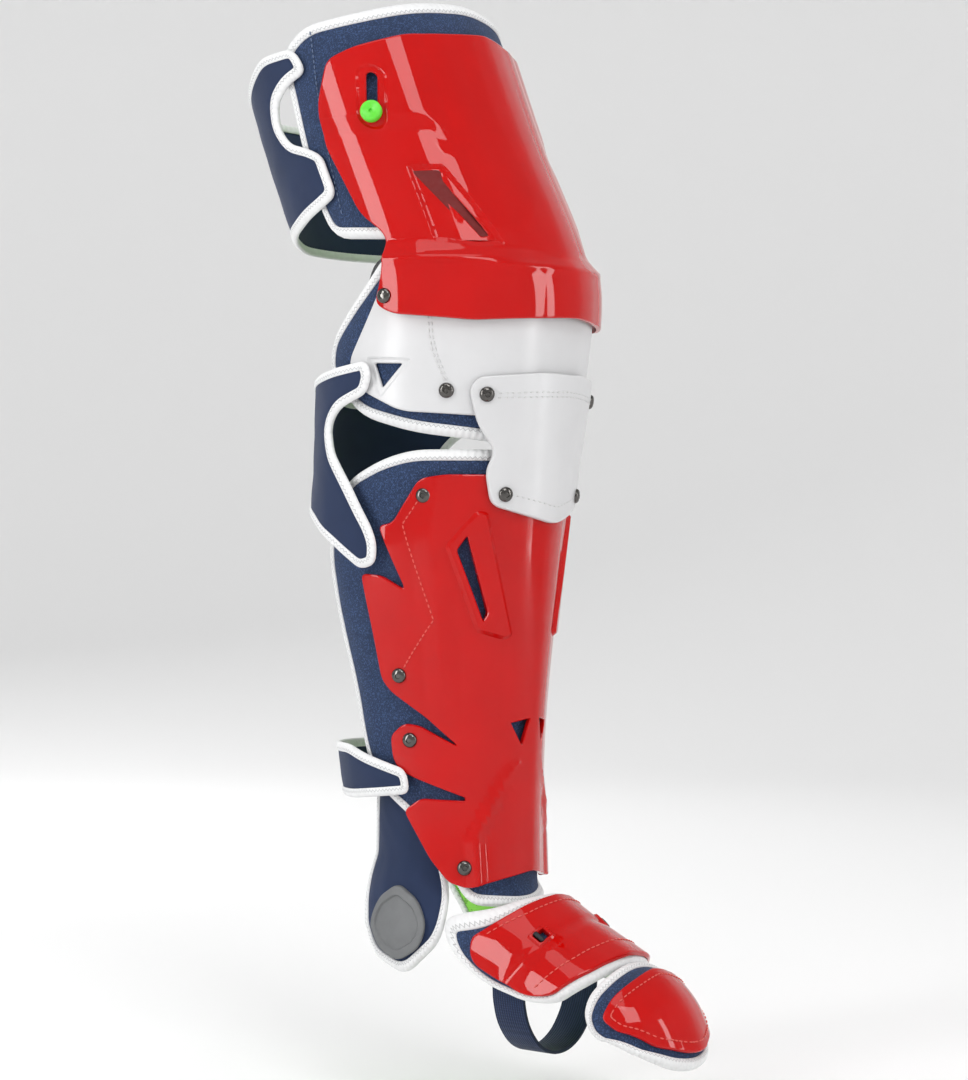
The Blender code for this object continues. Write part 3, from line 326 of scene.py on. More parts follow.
class FootForm:
    """The foot that flat pieces are bent over: x is the way round, y the way along the ridge."""

    def __init__(self, sizes):
        self.sizes = sizes
        self.radius = sizes.foot_width / 2
        self.places, self.columns = smooth_rows(FOOT_FORM)

    def ridge(self, along):
        share = along / self.sizes.guard_height
        forward, drop, width, side = (np.interp(share, self.places, c) for c in self.columns.T)
        height, foot = self.sizes.guard_height, self.sizes.foot_width
        return stack(0.0, -forward * height, -drop * height), width * foot, side * foot

    def arch(self, turn, along):
        point, width, side = self.ridge(along)
        tangent = unit(self.ridge(along + 0.002)[0] - self.ridge(along - 0.002)[0])
        down = stack(0.0, -tangent[..., 2], tangent[..., 1]) * np.where(tangent[..., 1:2] < 0, 1.0, -1.0)
        return point + stack(width * np.sin(turn), 0.0, 0.0) + down * (side * (1 - np.cos(turn)))[..., None]

    def place(self, x, y, lift):
        turn = x / self.radius
        way = unit(self.arch(turn + HALF_DEGREE, y) - self.arch(turn - HALF_DEGREE, y))
        forward = unit(self.arch(turn, y + 0.001) - self.arch(turn, y - 0.001))
        out = unit(np.cross(forward, way))
        keep = (out[..., 2:3] > 0) | (np.abs(turn)[..., None] > math.radians(70))
        out = np.where(keep, out, -out)
        return self.arch(turn, y) + out * np.asarray(lift)[..., None]


def ramp(value, low, high):
    return np.clip((value - low) / (high - low), 0.0, 1.0)


def soft(value, low, high):
    t = ramp(value, low, high)
    return t * t * (3 - 2 * t)


def sizes():
    return bpy.context.scene.guard_sizes


def across(angle):
    return math.radians(angle) * (sizes().knee_width + sizes().knee_depth) / 4


def level(piece, share):
    """Height of a place on a piece, from its share down the piece."""
    return (PLACES[piece].top - share * PLACES[piece].height) * sizes().guard_height


def mirrored(half):
    return half + [(-angle, share) for angle, share in reversed(half[1:-1])]


def flip(outline):
    return [(-angle, share) for angle, share in reversed(outline)]


def laid_out(outline, piece):
    """Flat outline in metres from degrees and shares of a piece's height."""
    return [Vector((across(angle), level(piece, share))) for angle, share in outline]


def laid_high(outline):
    """Flat outline in metres from degrees and shares of the guard's height."""
    return [Vector((across(angle), share * sizes().guard_height)) for angle, share in outline]


def laid_on_foot(outline):
    radius, height = sizes().foot_width / 2, sizes().guard_height
    return [Vector((math.radians(angle) * radius, share * height)) for angle, share in outline]


def rounded(points, radius, spacing=FINE, arc=5):
    """Flat outline with its corners rounded and no two points further apart than the spacing."""
    ring = []
    for k, corner in enumerate(points):
        back, on = points[k - 1] - corner, points[(k + 1) % len(points)] - corner
        cut = min(radius, 0.45 * back.length, 0.45 * on.length)
        start, end = corner + back.normalized() * cut, corner + on.normalized() * cut
        for n in range(arc + 1):
            t = n / arc
            ring.append(start * (1 - t) ** 2 + corner * 2 * t * (1 - t) + end * t**2)
    filled = []
    for k, point in enumerate(ring):
        step = ring[(k + 1) % len(ring)] - point
        count = max(1, math.ceil(step.length / spacing))
        filled += [point + step * (n / count) for n in range(count)]
    return filled


def area(points):
    return 0.5 * sum(a.x * b.y - a.y * b.x for a, b in zip(points, points[1:] + points[:1]))


def inset(points, distance):
    """Flat outline moved inwards by a distance."""
    sign = 1 if area(points) > 0 else -1
    ring = []
    for k, corner in enumerate(points):
        first = (corner - points[k - 1]).normalized()
        second = (points[(k + 1) % len(points)] - corner).normalized()
        normal = Vector((-first.y - second.y, first.x + second.x)).normalized() * sign
        side = Vector((-first.y, first.x)) * sign
        ring.append(corner + normal * distance / max(normal.dot(side), 0.6))
    return ring


def edge_distance(x, y, ring):
    """How far each flat place is from an outline."""
    points = np.array([(p.x, p.y) for p in ring])
    ahead = np.roll(points, -1, axis=0) - points
    length = np.maximum((ahead**2).sum(1), 1e-12)
    best = np.full(x.shape, 9.0)
    for k in range(len(points)):
        t = np.clip(((x - points[k, 0]) * ahead[k, 0] + (y - points[k, 1]) * ahead[k, 1]) / length[k], 0, 1)
        gap = (x - points[k, 0] - t * ahead[k, 0]) ** 2 + (y - points[k, 1] - t * ahead[k, 1]) ** 2
        best = np.minimum(best, gap)
    return np.sqrt(best)


def loop_of(bm, ring, z):
    verts = [bm.verts.new((p.x, p.y, z)) for p in ring]
    return [bm.edges.new((a, b)) for a, b in zip(verts, verts[1:] + verts[:1])]


def skirt(bm, ring, profile):
    """Wall of loops along an outline, from rows of inset and height; gives its first and last loop."""
    loops = [loop_of(bm, inset(ring, distance), z) for distance, z in profile]
    for low, high in zip(loops, loops[1:]):
        bmesh.ops.bridge_loops(bm, edges=low + high)
    return loops[0], loops[-1]


def fill(bm, loops):
    """Flat face or faces between an outer loop and the loops in it."""
    edges = [edge for loop in loops for edge in loop]
    made = bmesh.ops.triangle_fill(bm, edges=edges, use_beauty=False, use_dissolve=False, normal=(0, 0, 1))
    inner = [g for g in made["geom"] if isinstance(g, bmesh.types.BMEdge) and g not in set(edges)]
    bmesh.ops.dissolve_limit(bm, angle_limit=0.01, verts=[], edges=inner, use_dissolve_boundaries=False)


def plate(ring, low, high, rim, holes=(), panels=(), under_rim=0.0):
    """Closed flat plate with a rounded rim, holes, and panels that stand out from it or lie in it."""
    bm = bmesh.new()
    profile = [(under_rim, low), (0.0, low + under_rim)] if under_rim else [(0.0, low)]
    profile += [(0.0, high - rim), (rim * 0.3, high - rim * 0.3), (rim, high)]
    bottom, top = skirt(bm, ring, profile)
    tops, bottoms = [top], [bottom]
    for panel, rise, slope, vents in panels:
        foot, crest = skirt(bm, panel, [(0.0, high), (slope, high + rise)])
        tops.append(foot)
        raised = [crest]
        for vent in vents:
            mouth, back = skirt(bm, vent, [(-0.0006, high + rise), (0.0, high + rise - 0.0006), (0.0, low)])
            raised.append(mouth)
            bottoms.append(back)
        fill(bm, raised)
    for hole in holes:
        mouth, back = skirt(bm, hole, [(-0.0005, high), (0.0, high - 0.0005), (0.0, low)])
        tops.append(mouth)
        bottoms.append(back)
    fill(bm, tops)
    fill(bm, bottoms)
    return bm


def face_outwards(bm):
    bmesh.ops.recalc_face_normals(bm, faces=bm.faces)
    if bm.calc_volume(signed=True) < 0:
        bmesh.ops.reverse_faces(bm, faces=bm.faces)


def add_object(name, mesh, *materials):
    obj = bpy.data.objects.new(name, mesh)
    bpy.context.scene.collection.objects.link(obj)
    for material in materials:
        mesh.materials.append(finish(material))
    return obj


def bend(name, bm, form, materials, relief=None, crown=None, grid=GRID, gloss=False, sharp=38.0):
    """Cut a flat piece along a fine grid, bend it onto a form, and give it its finish."""
    xs, ys = [v.co.x for v in bm.verts], [v.co.y for v in bm.verts]
    for values, axis in ((xs, 0), (ys, 1)):
        for k in range(math.ceil(min(values) / grid), math.floor(max(values) / grid) + 1):
            spot, way = Vector((0, 0, 0)), Vector((0, 0, 0))
            spot[axis], way[axis] = k * grid, 1.0
            everything = bm.verts[:] + bm.edges[:] + bm.faces[:]
            bmesh.ops.bisect_plane(bm, geom=everything, dist=2e-4, plane_co=spot, plane_no=way)
    many = [f for f in bm.faces if len(f.verts) > 4]
    bmesh.ops.triangulate(bm, faces=many, ngon_method="EAR_CLIP")
    face_outwards(bm)
    bm.normal_update()
    bm.verts.index_update()
    flat = np.array([v.co for v in bm.verts])
    upper = np.array([max((f.normal.z for f in v.link_faces), default=0.0) > 0.9 for v in bm.verts])
    lower = np.array([min((f.normal.z for f in v.link_faces), default=0.0) < -0.9 for v in bm.verts])
    lift = flat[:, 2].copy()
    if relief:
        lift += relief(flat[:, 0], flat[:, 1])
    if crown:
        lift += crown(flat[:, 0], flat[:, 1], upper, lower)
    placed = form.place(flat[:, 0], flat[:, 1], lift)
    layer = bm.loops.layers.uv.new("flat")
    facing = []
    for face in bm.faces:
        facing.append(face.normal.z)
        face.material_index = len(materials) - 1 if face.normal.z < -0.9 else 0
        for corner in face.loops:
            corner[layer].uv = corner.vert.co.xy
    normals = None
    if gloss:
        h = 0.0006
        shift = relief or (lambda x, y: 0.0 * x)

        def surface(x, y):
            return form.place(x, y, flat[:, 2] + shift(x, y))

        along_x = surface(flat[:, 0] + h, flat[:, 1]) - surface(flat[:, 0] - h, flat[:, 1])
        along_y = surface(flat[:, 0], flat[:, 1] + h) - surface(flat[:, 0], flat[:, 1] - h)
        normals = unit(np.cross(along_x, along_y))
        outward = placed - form.place(flat[:, 0], flat[:, 1], lift - 0.001)
        normals *= np.sign((normals * outward).sum(1))[:, None]
    for vert, point in zip(bm.verts, placed):
        vert.co = point
    if bm.calc_volume(signed=True) < 0:
        bmesh.ops.reverse_faces(bm, faces=bm.faces)
    mesh = bpy.data.meshes.new(name)
    bm.to_mesh(mesh)
    bm.free()
    mesh.shade_smooth()
    mesh.set_sharp_from_angle(angle=math.radians(sharp))
    if gloss:
        corners = []
        for polygon, tilt in zip(mesh.polygons, facing):
            for k in polygon.vertices:
                corners.append(tuple(normals[k]) if tilt > 0.95 else (0.0, 0.0, 0.0))
        mesh.normals_split_custom_set(corners)
    return add_object(name, mesh, *materials)


def tape(name, ring, profile, form, material="edge_tape", relief=None):
    """Closed strip along an outline from a section of inset and height, with its run in the UV map."""
    bm = bmesh.new()
    run = bm.verts.layers.float.new("run")
    side = bm.verts.layers.float.new("side")
    lengths = [0.0]
    for a, b in zip(ring, ring[1:] + ring[:1]):
        lengths.append(lengths[-1] + (b - a).length)
    widths = [0.0]
    for (d0, z0), (d1, z1) in zip(profile, profile[1:]):
        widths.append(widths[-1] + math.hypot(d1 - d0, z1 - z0))
    loops = []
    for (distance, z), width in zip(profile, widths):
        edges = loop_of(bm, inset(ring, distance), z)
        for vert, length in zip([e.verts[0] for e in edges], lengths):
            vert[run], vert[side] = length, width
        loops.append(edges)
    for low, high in zip(loops, loops[1:] + loops[:1]):
        bmesh.ops.bridge_loops(bm, edges=low + high)
    layer = bm.loops.layers.uv.new("flat")
    total, round_way = lengths[-1], widths[-1]
    for face in bm.faces:
        runs = [c.vert[run] for c in face.loops]
        sides = [c.vert[side] for c in face.loops]
        wraps, closes = max(runs) - min(runs) > total / 2, max(sides) - min(sides) > round_way * 0.6
        for corner, u, v in zip(face.loops, runs, sides):
            u += total if wraps and u < total / 2 else 0.0
            v = round_way if closes and v < 1e-6 else v
            corner[layer].uv = (u, v)
    flat = np.array([v.co for v in bm.verts])
    lift = flat[:, 2] + (relief(flat[:, 0], flat[:, 1]) if relief else 0.0)
    for vert, point in zip(bm.verts, form.place(flat[:, 0], flat[:, 1], lift)):
        vert.co = point
    face_outwards(bm)
    mesh = bpy.data.meshes.new(name)
    bm.to_mesh(mesh)
    bm.free()
    mesh.shade_smooth()
    return add_object(name, mesh, material)


def rolled(low, high, width, proud=0.0005):
    """Cross section of a binding: flat where it lies on the piece, and round at the outer edge."""
    middle, half = (low + high) / 2, (high - low) / 2 + proud
    top = [
        (width, 0.86), (width * 0.93, 1.0), (width * 0.62, 1.04), (width * 0.42, 0.98), (width * 0.22, 0.80),
    ]
    top += [(width * 0.07, 0.48), (0.0, 0.16)]
    return [(d, middle + half * s) for d, s in top] + [(d, middle - half * s) for d, s in reversed(top)]


# Reliefs, as the way out over the flat place of each point
def angle_of(x):
    return np.degrees(x / ((sizes().knee_width + sizes().knee_depth) / 4))


def keel(x, y):
    return 0.0030 * np.maximum(1 - np.abs(angle_of(x)) / 18.0, 0.0)


def cap_relief(x, y):
    """Centre ridge, side creases, and the proud band along the foot of the cap."""
    height, angle = sizes().guard_height, np.abs(angle_of(x))
    crease = 0.0345 * height - 0.006 * ramp(angle, 60, 0)
    band = 0.0052 * ramp(y, crease + 0.0045, crease - 0.0045)
    lip = 0.0007 * np.exp(-(((y - crease + 0.0055) / 0.0022) ** 2))
    floor = 0.1285 * height + 0.009 * ramp(angle, 32, 42)
    panel = 0.0024 * ramp(angle, 32, 42) * ramp(y, floor, floor + 0.010)
    fold = 0.0012 * np.maximum(1 - np.abs(angle - 36) / 8.0, 0.0) * ramp(y, crease + 0.010, crease + 0.022)
    return band + lip + keel(x, y) + panel + fold * ramp(y, floor + 0.004, floor - 0.010)


def shin_relief(x, y):
    """Centre ridge and the long facets of the shin shell."""
    angle = np.abs(angle_of(x))
    share = ramp(y, -0.104, -0.346)
    facet = 0.0019 * np.maximum(1 - np.abs(angle - 52 + 10 * share) / 9.0, 0.0)
    lower_ridge = 10 + 24 * ramp(y, -0.273, -0.318)
    low = 0.0026 * ramp(y, -0.272, -0.300) * np.maximum(1 - np.abs(angle - lower_ridge) / 6.0, 0)
    return keel(x, y) + facet * (1 - ramp(y, -0.22, -0.26)) + low


def tongue_relief(x, y):
    height = sizes().guard_height
    return 0.0044 * soft(y, -0.5422 * height, -0.5578 * height)


def wing_relief(x, y):
    height = sizes().guard_height
    return 0.0115 * ramp(y, -0.5156 * height, -0.5781 * height)


def calf_relief(x, y):
    return (sizes().shell_gap + sizes().shell_thickness) * ramp(angle_of(x), 210, 255)


def swell(ring, rise, reach, under=0.0, edge=0.0):
    """Crown of a padded piece: it thins towards its outline, and its cover is never quite flat."""

    def crown(x, y, upper, lower):
        away = edge_distance(x, y, ring)
        full = np.sqrt(np.clip(1 - (1 - np.clip(away / reach, 0, 1)) ** 2, 0, 1))
        ripple = np.sin(x * 190 + 1.7 * np.sin(y * 120)) * np.sin(y * 150 + 1.3 * np.sin(x * 90))
        top = rise * full - edge * (1 - full) + 0.00022 * ripple * full
        bottom = -under * full + edge * (1 - full)
        return np.where(upper, top, 0.0) + np.where(lower, bottom, 0.0)

    return crown


# Finishes
class Finish:
    """A material whose nodes are added one at a time."""

    def __init__(self, name, colour, roughness, metallic=0.0):
        self.material = bpy.data.materials.new(name)
        self.material.use_nodes = True
        self.tree = self.material.node_tree
        self.shader = self.tree.nodes["Principled BSDF"]
        self.set("Base Color", (*colour, 1.0))
        self.set("Roughness", roughness)
        self.set("Metallic", metallic)
        self.material.diffuse_color = (*colour, 1.0)

    def set(self, socket, value):
        self.shader.inputs[socket].default_value = value

    def join(self, source, socket):
        self.tree.links.new(source, self.shader.inputs[socket])

    def node(self, kind, inputs=(), output=0, **settings):
        """One node, with its inputs as values or as other nodes' outputs."""
        node = self.tree.nodes.new("ShaderNode" + kind)
        for key, value in settings.items():
            setattr(node, key, value)
        for socket, value in dict(inputs).items():
            if isinstance(value, bpy.types.NodeSocket):
                self.tree.links.new(value, node.inputs[socket])
            else:
                node.inputs[socket].default_value = value
        return node.outputs[output]

    def sum(self, operation, a, b=0.5, c=0.5):
        return self.node("Math", {0: a, 1: b, 2: c}, operation=operation)

    def place(self):
        """Place on the object, in millimetres."""
        spot = self.node("TexCoord", output=3)
        return self.node("VectorMath", {0: spot, 3: 1000.0}, operation="SCALE")

    def flat(self):
        """Place on the flat pattern of the piece, in millimetres, as across and up."""
        spot = self.node("UVMap", uv_map="flat")
        split = self.tree.nodes.new("ShaderNodeSeparateXYZ")
        self.tree.links.new(spot, split.inputs[0])
        return self.sum("MULTIPLY", split.outputs[0], 1000.0), self.sum("MULTIPLY", split.outputs[1], 1000.0)

    def noise(self, period, detail=2.0, spot=None):
        spot = spot or self.place()
        return self.node("TexNoise", {"Vector": spot, "Scale": 1.0 / period, "Detail": detail})

    def wave(self, value, period, shift=0.0):
        """Sine of a length, from 0 to 1."""
        turn = self.sum("MULTIPLY_ADD", value, 2 * math.pi / period, shift)
        return self.sum("MULTIPLY_ADD", self.sum("SINE", turn), 0.5, 0.5)

    def band(self, value, low, high):
        edges = {0: value, 1: low, 2: high, 3: 0.0, 4: 1.0}
        return self.node("MapRange", edges, interpolation_type="SMOOTHSTEP")

    def blend(self, factor, a, b):
        a, b = (tone if isinstance(tone, bpy.types.NodeSocket) else (*tone, 1.0) for tone in (a, b))
        return self.node("Mix", {0: factor, 6: a, 7: b}, output=2, data_type="RGBA")

    def colour(self, factor, a, b):
        self.join(self.blend(factor, a, b), "Base Color")

    def bump(self, height, distance, strength=1.0, under=None):
        inputs = {"Height": height, "Distance": distance, "Strength": strength}
        if under:
            inputs["Normal"] = under
        out = self.node("Bump", inputs)
        self.join(out, "Normal")
        return out


def shade(colour, factor):
    return tuple(min(1.0, channel * factor) for channel in colour)


def gloss_red():
    tone = bpy.context.scene.guard_colours.red
    m = Finish("gloss_red", tone, 0.16)
    m.set("Specular IOR Level", 0.0)
    m.set("Coat Weight", 1.0)
    m.set("Coat IOR", 1.36)
    m.set("Coat Roughness", 0.03)
    m.colour(m.noise(26.0, 3.0), shade(tone, 0.88), shade(tone, 1.06))
    m.join(m.node("MapRange", {0: m.noise(9.0, 4.0), 3: 0.12, 4: 0.26}), "Roughness")
    under = m.bump(m.noise(2.4, 1.0), 0.00004, 0.5)
    m.bump(m.noise(30.0, 2.0), 0.0004, 0.35, under)
    return m.material


def satin_white():
    tone = bpy.context.scene.guard_colours.white
    m = Finish("satin_white", tone, 0.34)
    m.set("Coat Weight", 0.25)
    m.set("Coat Roughness", 0.2)
    m.colour(m.noise(22.0, 3.0), shade(tone, 0.93), shade(tone, 1.02))
    m.join(m.node("MapRange", {0: m.noise(6.0, 3.0), 3: 0.27, 4: 0.42}), "Roughness")
    under = m.bump(m.noise(0.7, 2.0), 0.00005, 0.5)
    m.bump(m.noise(18.0, 2.0), 0.0004, 0.3, under)
    return m.material


def woven_navy():
    """Knitted cover with fine diagonal ribs and pale flecks."""
    tone = bpy.context.scene.guard_colours.navy
    m = Finish("woven_navy", tone, 0.85)
    m.set("Specular IOR Level", 0.2)
    m.set("Sheen Weight", 0.08)
    m.set("Sheen Roughness", 0.5)
    across_mm, up_mm = m.flat()
    ribs = m.wave(m.sum("ADD", across_mm, up_mm), 1.5)
    stitches = m.wave(m.sum("SUBTRACT", across_mm, up_mm), 1.9)
    knit = m.sum("MULTIPLY", ribs, stitches)
    fleck = m.band(m.noise(0.9, 3.0), 0.48, 0.66)
    base = m.blend(m.noise(14.0, 3.0), shade(tone, 0.78), shade(tone, 1.12))
    lighter = m.blend(m.sum("MULTIPLY", fleck, 0.65), base, shade(tone, 3.0))
    m.join(m.blend(m.sum("MULTIPLY", knit, 0.45), lighter, shade(tone, 0.55)), "Base Color")
    under = m.bump(knit, 0.00022, 0.8)
    m.bump(m.noise(12.0, 3.0), 0.0007, 0.35, under)
    return m.material


def stretch_navy():
    """Smooth laminated stretch cloth of the straps."""
    tone = bpy.context.scene.guard_colours.strap
    m = Finish("stretch_navy", tone, 0.72)
    m.set("Specular IOR Level", 0.25)
    m.set("Sheen Weight", 0.08)
    across_mm, up_mm = m.flat()
    knit = m.sum("MULTIPLY", m.wave(across_mm, 0.8), m.wave(up_mm, 0.6))
    base = m.blend(m.noise(20.0, 3.0), shade(tone, 0.82), shade(tone, 1.15))
    m.join(m.blend(m.sum("MULTIPLY", knit, 0.4), base, shade(tone, 1.5)), "Base Color")
    under = m.bump(knit, 0.00010, 0.7)
    m.bump(m.noise(16.0, 2.0), 0.0006, 0.3, under)
    return m.material


def ribbed_webbing():
    tone = bpy.context.scene.guard_colours.webbing
    m = Finish("ribbed_webbing", tone, 0.8)
    m.set("Specular IOR Level", 0.25)
    m.set("Sheen Weight", 0.08)
    spot = m.place()
    split = m.tree.nodes.new("ShaderNodeSeparateXYZ")
    m.tree.links.new(spot, split.inputs[0])
    ribs = m.wave(split.outputs[1], 1.6)
    cross = m.wave(m.sum("ADD", split.outputs[0], split.outputs[2]), 1.1)
    weave = m.sum("MULTIPLY", ribs, m.sum("MULTIPLY_ADD", cross, 0.5, 0.5))
    m.colour(weave, shade(tone, 0.6), shade(tone, 1.8))
    m.bump(weave, 0.0003, 0.8)
    return m.material


def edge_tape():
    """White folded tape with two rows of grey zigzag stitching on each face."""
    tone = bpy.context.scene.guard_colours.tape
    m = Finish("edge_tape", tone, 0.75)
    m.set("Sheen Weight", 0.2)
    run_mm, side_mm = m.flat()
    saw = m.sum("PINGPONG", run_mm, 1.5)
    top = m.sum("ABSOLUTE", m.sum("SUBTRACT", m.sum("SUBTRACT", side_mm, 1.2), m.sum("MULTIPLY", saw, 0.9)))
    far = m.sum("SUBTRACT", 17.6, side_mm)
    low = m.sum("ABSOLUTE", m.sum("SUBTRACT", m.sum("SUBTRACT", far, 1.2), m.sum("MULTIPLY", saw, 0.9)))
    thread = m.sum("SUBTRACT", 1.0, m.band(m.sum("MINIMUM", top, low), 0.16, 0.42))
    ribs = m.wave(run_mm, 0.75)
    grain = m.blend(m.noise(5.0, 3.0), shade(tone, 0.90), shade(tone, 1.0))
    ribbed = m.blend(m.sum("MULTIPLY", ribs, 0.10), grain, shade(tone, 0.7))
    m.join(m.blend(m.sum("MULTIPLY", thread, 0.62), ribbed, (0.26, 0.265, 0.27)), "Base Color")
    under = m.bump(ribs, 0.00012, 0.6)
    under = m.bump(thread, 0.00045, -0.9, under)
    under = m.bump(m.wave(run_mm, 4.2), 0.0006, 0.5, under)
    m.bump(m.noise(7.0, 2.0), 0.0005, 0.4, under)
    return m.material


def lime_mesh():
    """Spacer mesh: fine open cells, with clusters of dark holes in staggered diamonds."""
    tone = bpy.context.scene.guard_colours.lime
    m = Finish("lime_mesh", tone, 0.8)
    m.set("Sheen Weight", 0.2)
    across_mm, up_mm = m.flat()
    pitch, rise = 11.0, 15.0
    found = None
    for shift in (0.0, 0.5):
        a = m.sum("PINGPONG", m.sum("ADD", across_mm, pitch * shift), pitch / 2)
        b = m.sum("PINGPONG", m.sum("ADD", up_mm, rise * shift), rise / 2)
        diamond = m.sum("ADD", m.sum("DIVIDE", a, 2.1), m.sum("DIVIDE", b, 2.9))
        inside = m.sum("LESS_THAN", diamond, 1.0)
        found = inside if found is None else m.sum("MAXIMUM", found, inside)
    cells = m.sum("MULTIPLY", m.wave(across_mm, 1.15), m.wave(up_mm, 1.3))
    holes = m.sum("MULTIPLY", found, m.band(cells, 0.22, 0.42))
    fine = m.sum("MULTIPLY", m.wave(across_mm, 1.5), m.wave(up_mm, 1.1))
    base = m.blend(m.sum("MULTIPLY", fine, 0.5), tone, shade(tone, 0.62))
    m.join(m.blend(holes, base, (0.012, 0.020, 0.008)), "Base Color")
    under = m.bump(fine, 0.0002, -0.8)
    m.bump(holes, 0.0006, -0.9, under)
    return m.material


def charcoal_mesh():
    """Dark mesh with a tight grid of round cells."""
    tone = bpy.context.scene.guard_colours.charcoal
    m = Finish("charcoal_mesh", tone, 0.7)
    m.set("Sheen Weight", 0.15)
    across_mm, up_mm = m.flat()
    first = m.sum("MULTIPLY", m.wave(across_mm, 2.2), m.wave(up_mm, 3.2))
    second = m.sum("MULTIPLY", m.wave(across_mm, 2.2, math.pi), m.wave(up_mm, 3.2, math.pi))
    cells = m.band(m.sum("MAXIMUM", first, second), 0.30, 0.62)
    base = m.blend(m.noise(3.0, 2.0), shade(tone, 1.1), shade(tone, 2.1))
    m.join(m.blend(cells, base, shade(tone, 0.25)), "Base Color")
    m.bump(cells, 0.0005, -0.9)
    return m.material


def clear_gel():
    tone = bpy.context.scene.guard_colours.gel
    m = Finish("clear_gel", tone, 0.14)
    m.set("Transmission Weight", 0.35)
    m.set("IOR", 1.42)
    m.set("Coat Weight", 0.6)
    m.colour(m.noise(9.0, 2.0), shade(tone, 0.88), shade(tone, 1.1))
    m.bump(m.noise(6.0, 1.0), 0.0004, 0.3)
    return m.material


def moulded(name, tone, roughness, coarse=1.2):
    m = Finish(name, tone, roughness)
    m.colour(m.noise(7.0, 3.0), shade(tone, 0.86), shade(tone, 1.1))
    m.join(m.node("MapRange", {0: m.noise(3.0, 3.0), 3: roughness * 0.8, 4: roughness * 1.25}), "Roughness")
    m.bump(m.noise(coarse, 2.0), 0.00008, 0.6)
    return m.material


def metal(name, tone, roughness):
    m = Finish(name, tone, roughness, metallic=1.0)
    m.colour(m.noise(4.0, 3.0), shade(tone, 0.82), shade(tone, 1.12))
    m.join(m.node("MapRange", {0: m.noise(1.6, 4.0), 3: roughness * 0.7, 4: roughness * 1.5}), "Roughness")
    m.bump(m.noise(0.9, 2.0), 0.00003, 0.5)
    return m.material


def thread(name, tone):
    m = Finish(name, tone, 0.6)
    spot = m.place()
    split = m.tree.nodes.new("ShaderNodeSeparateXYZ")
    m.tree.links.new(spot, split.inputs[0])
    twist = m.wave(m.sum("ADD", split.outputs[0], m.sum("ADD", split.outputs[1], split.outputs[2])), 0.7)
    m.colour(twist, shade(tone, 0.7), shade(tone, 1.15))
    m.bump(twist, 0.0001, 0.6)
    return m.material


def finish(name):
    """The material of a finish, made the first time that it is asked for."""
    made = bpy.data.materials.get(name + "_finish")
    if made is not None:
        return made
    colours = bpy.context.scene.guard_colours
    makers = {
        "gloss_red": gloss_red,
        "satin_white": satin_white,
        "woven_navy": woven_navy,
        "stretch_navy": stretch_navy,
        "ribbed_webbing": ribbed_webbing,
        "edge_tape": edge_tape,
        "lime_mesh": lime_mesh,
        "charcoal_mesh": charcoal_mesh,
        "clear_gel": clear_gel,
        "green_moulding": lambda: moulded("green_moulding", colours.knob, 0.38),
        "grey_rubber": lambda: moulded("grey_rubber", colours.rubber, 0.55),
        "dark_chrome": lambda: metal("dark_chrome", (0.11, 0.105, 0.10), 0.10),
        "gunmetal": lambda: metal("gunmetal", (0.030, 0.031, 0.034), 0.36),
        "bright_chrome": lambda: metal("bright_chrome", (0.62, 0.62, 0.63), 0.14),
        "red_thread": lambda: thread("red_thread", (0.70, 0.10, 0.08)),
        "white_thread": lambda: thread("white_thread", (0.62, 0.62, 0.62)),
        # The shell's red, much darkened: a real louver wall whose dark tone is painted shade deep in each
        # vent.
        "vent_red_painted_shade": lambda: moulded("vent_red_painted_shade", (0.130, 0.0015, 0.0015), 0.75),
        "navy_thread": lambda: thread("navy_thread", (0.10, 0.15, 0.26)),
    }
    made = makers[name]()
    made.name = name + "_finish"
    return made


def settle(obj, slot, *nodes, fill_share=None):
    """Ride a finished piece on the guard, and hide the imported parts that it stands for."""
    if nodes:
        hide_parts(*nodes)
    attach(obj, "root")
    return obj


def stitch_rows(name, material, rows, form, lift, relief=None, pitch=0.0034, long=0.0024):
    """Rows of stitches along flat lines, each a small rounded stitch lying on the surface."""
    bm = bmesh.new()
    for row in rows:
        for a, b in zip(row, row[1:]):
            count = max(1, round((b - a).length / pitch))
            for n in range(count):
                flat = a.lerp(b, (n + 0.5) / count)
                on = flat + (b - a).normalized() * 0.0005
                xs, ys = np.array([flat.x, on.x]), np.array([flat.y, on.y])
                high = lift + (relief(xs, ys) if relief else 0.0 * xs)
                place = form.place(xs, ys, high)
                top = form.place(xs, ys, high + 0.001)
                spot, way = Vector(place[0]), Vector(place[1] - place[0]).normalized()
                out = Vector(top[0] - place[0]).normalized()
                side = out.cross(way).normalized()
                turned = Matrix((way, side, way.cross(side))).transposed().to_4x4()
                shape = Matrix.Diagonal((long / 2, 0.00042, 0.00038, 1.0))
                matrix = Matrix.Translation(spot) @ turned @ shape
                bmesh.ops.create_icosphere(bm, subdivisions=2, radius=1.0, matrix=matrix)
    mesh = bpy.data.meshes.new(name)
    bm.to_mesh(mesh)
    bm.free()
    mesh.shade_smooth()
    return add_object(name, mesh, material)


def surface_frame(form, x, y, lift):
    """Matrix whose axes run round, up and out at a flat place."""
    xs, ys = np.array([x, x + 0.001, x - 0.001, x, x]), np.array([y, y, y, y + 0.001, y - 0.001])
    points = [Vector(p) for p in form.place(xs, ys, np.full(5, lift))]
    way, up = (points[1] - points[2]).normalized(), (points[3] - points[4]).normalized()
    out = way.cross(up).normalized()
    if out.dot(Vector(form.place(xs, ys, np.full(5, lift + 0.001))[0]) - points[0]) < 0:
        out.negate()
    return Matrix.Translation(points[0]) @ Matrix((way, out.cross(way), out)).transposed().to_4x4()


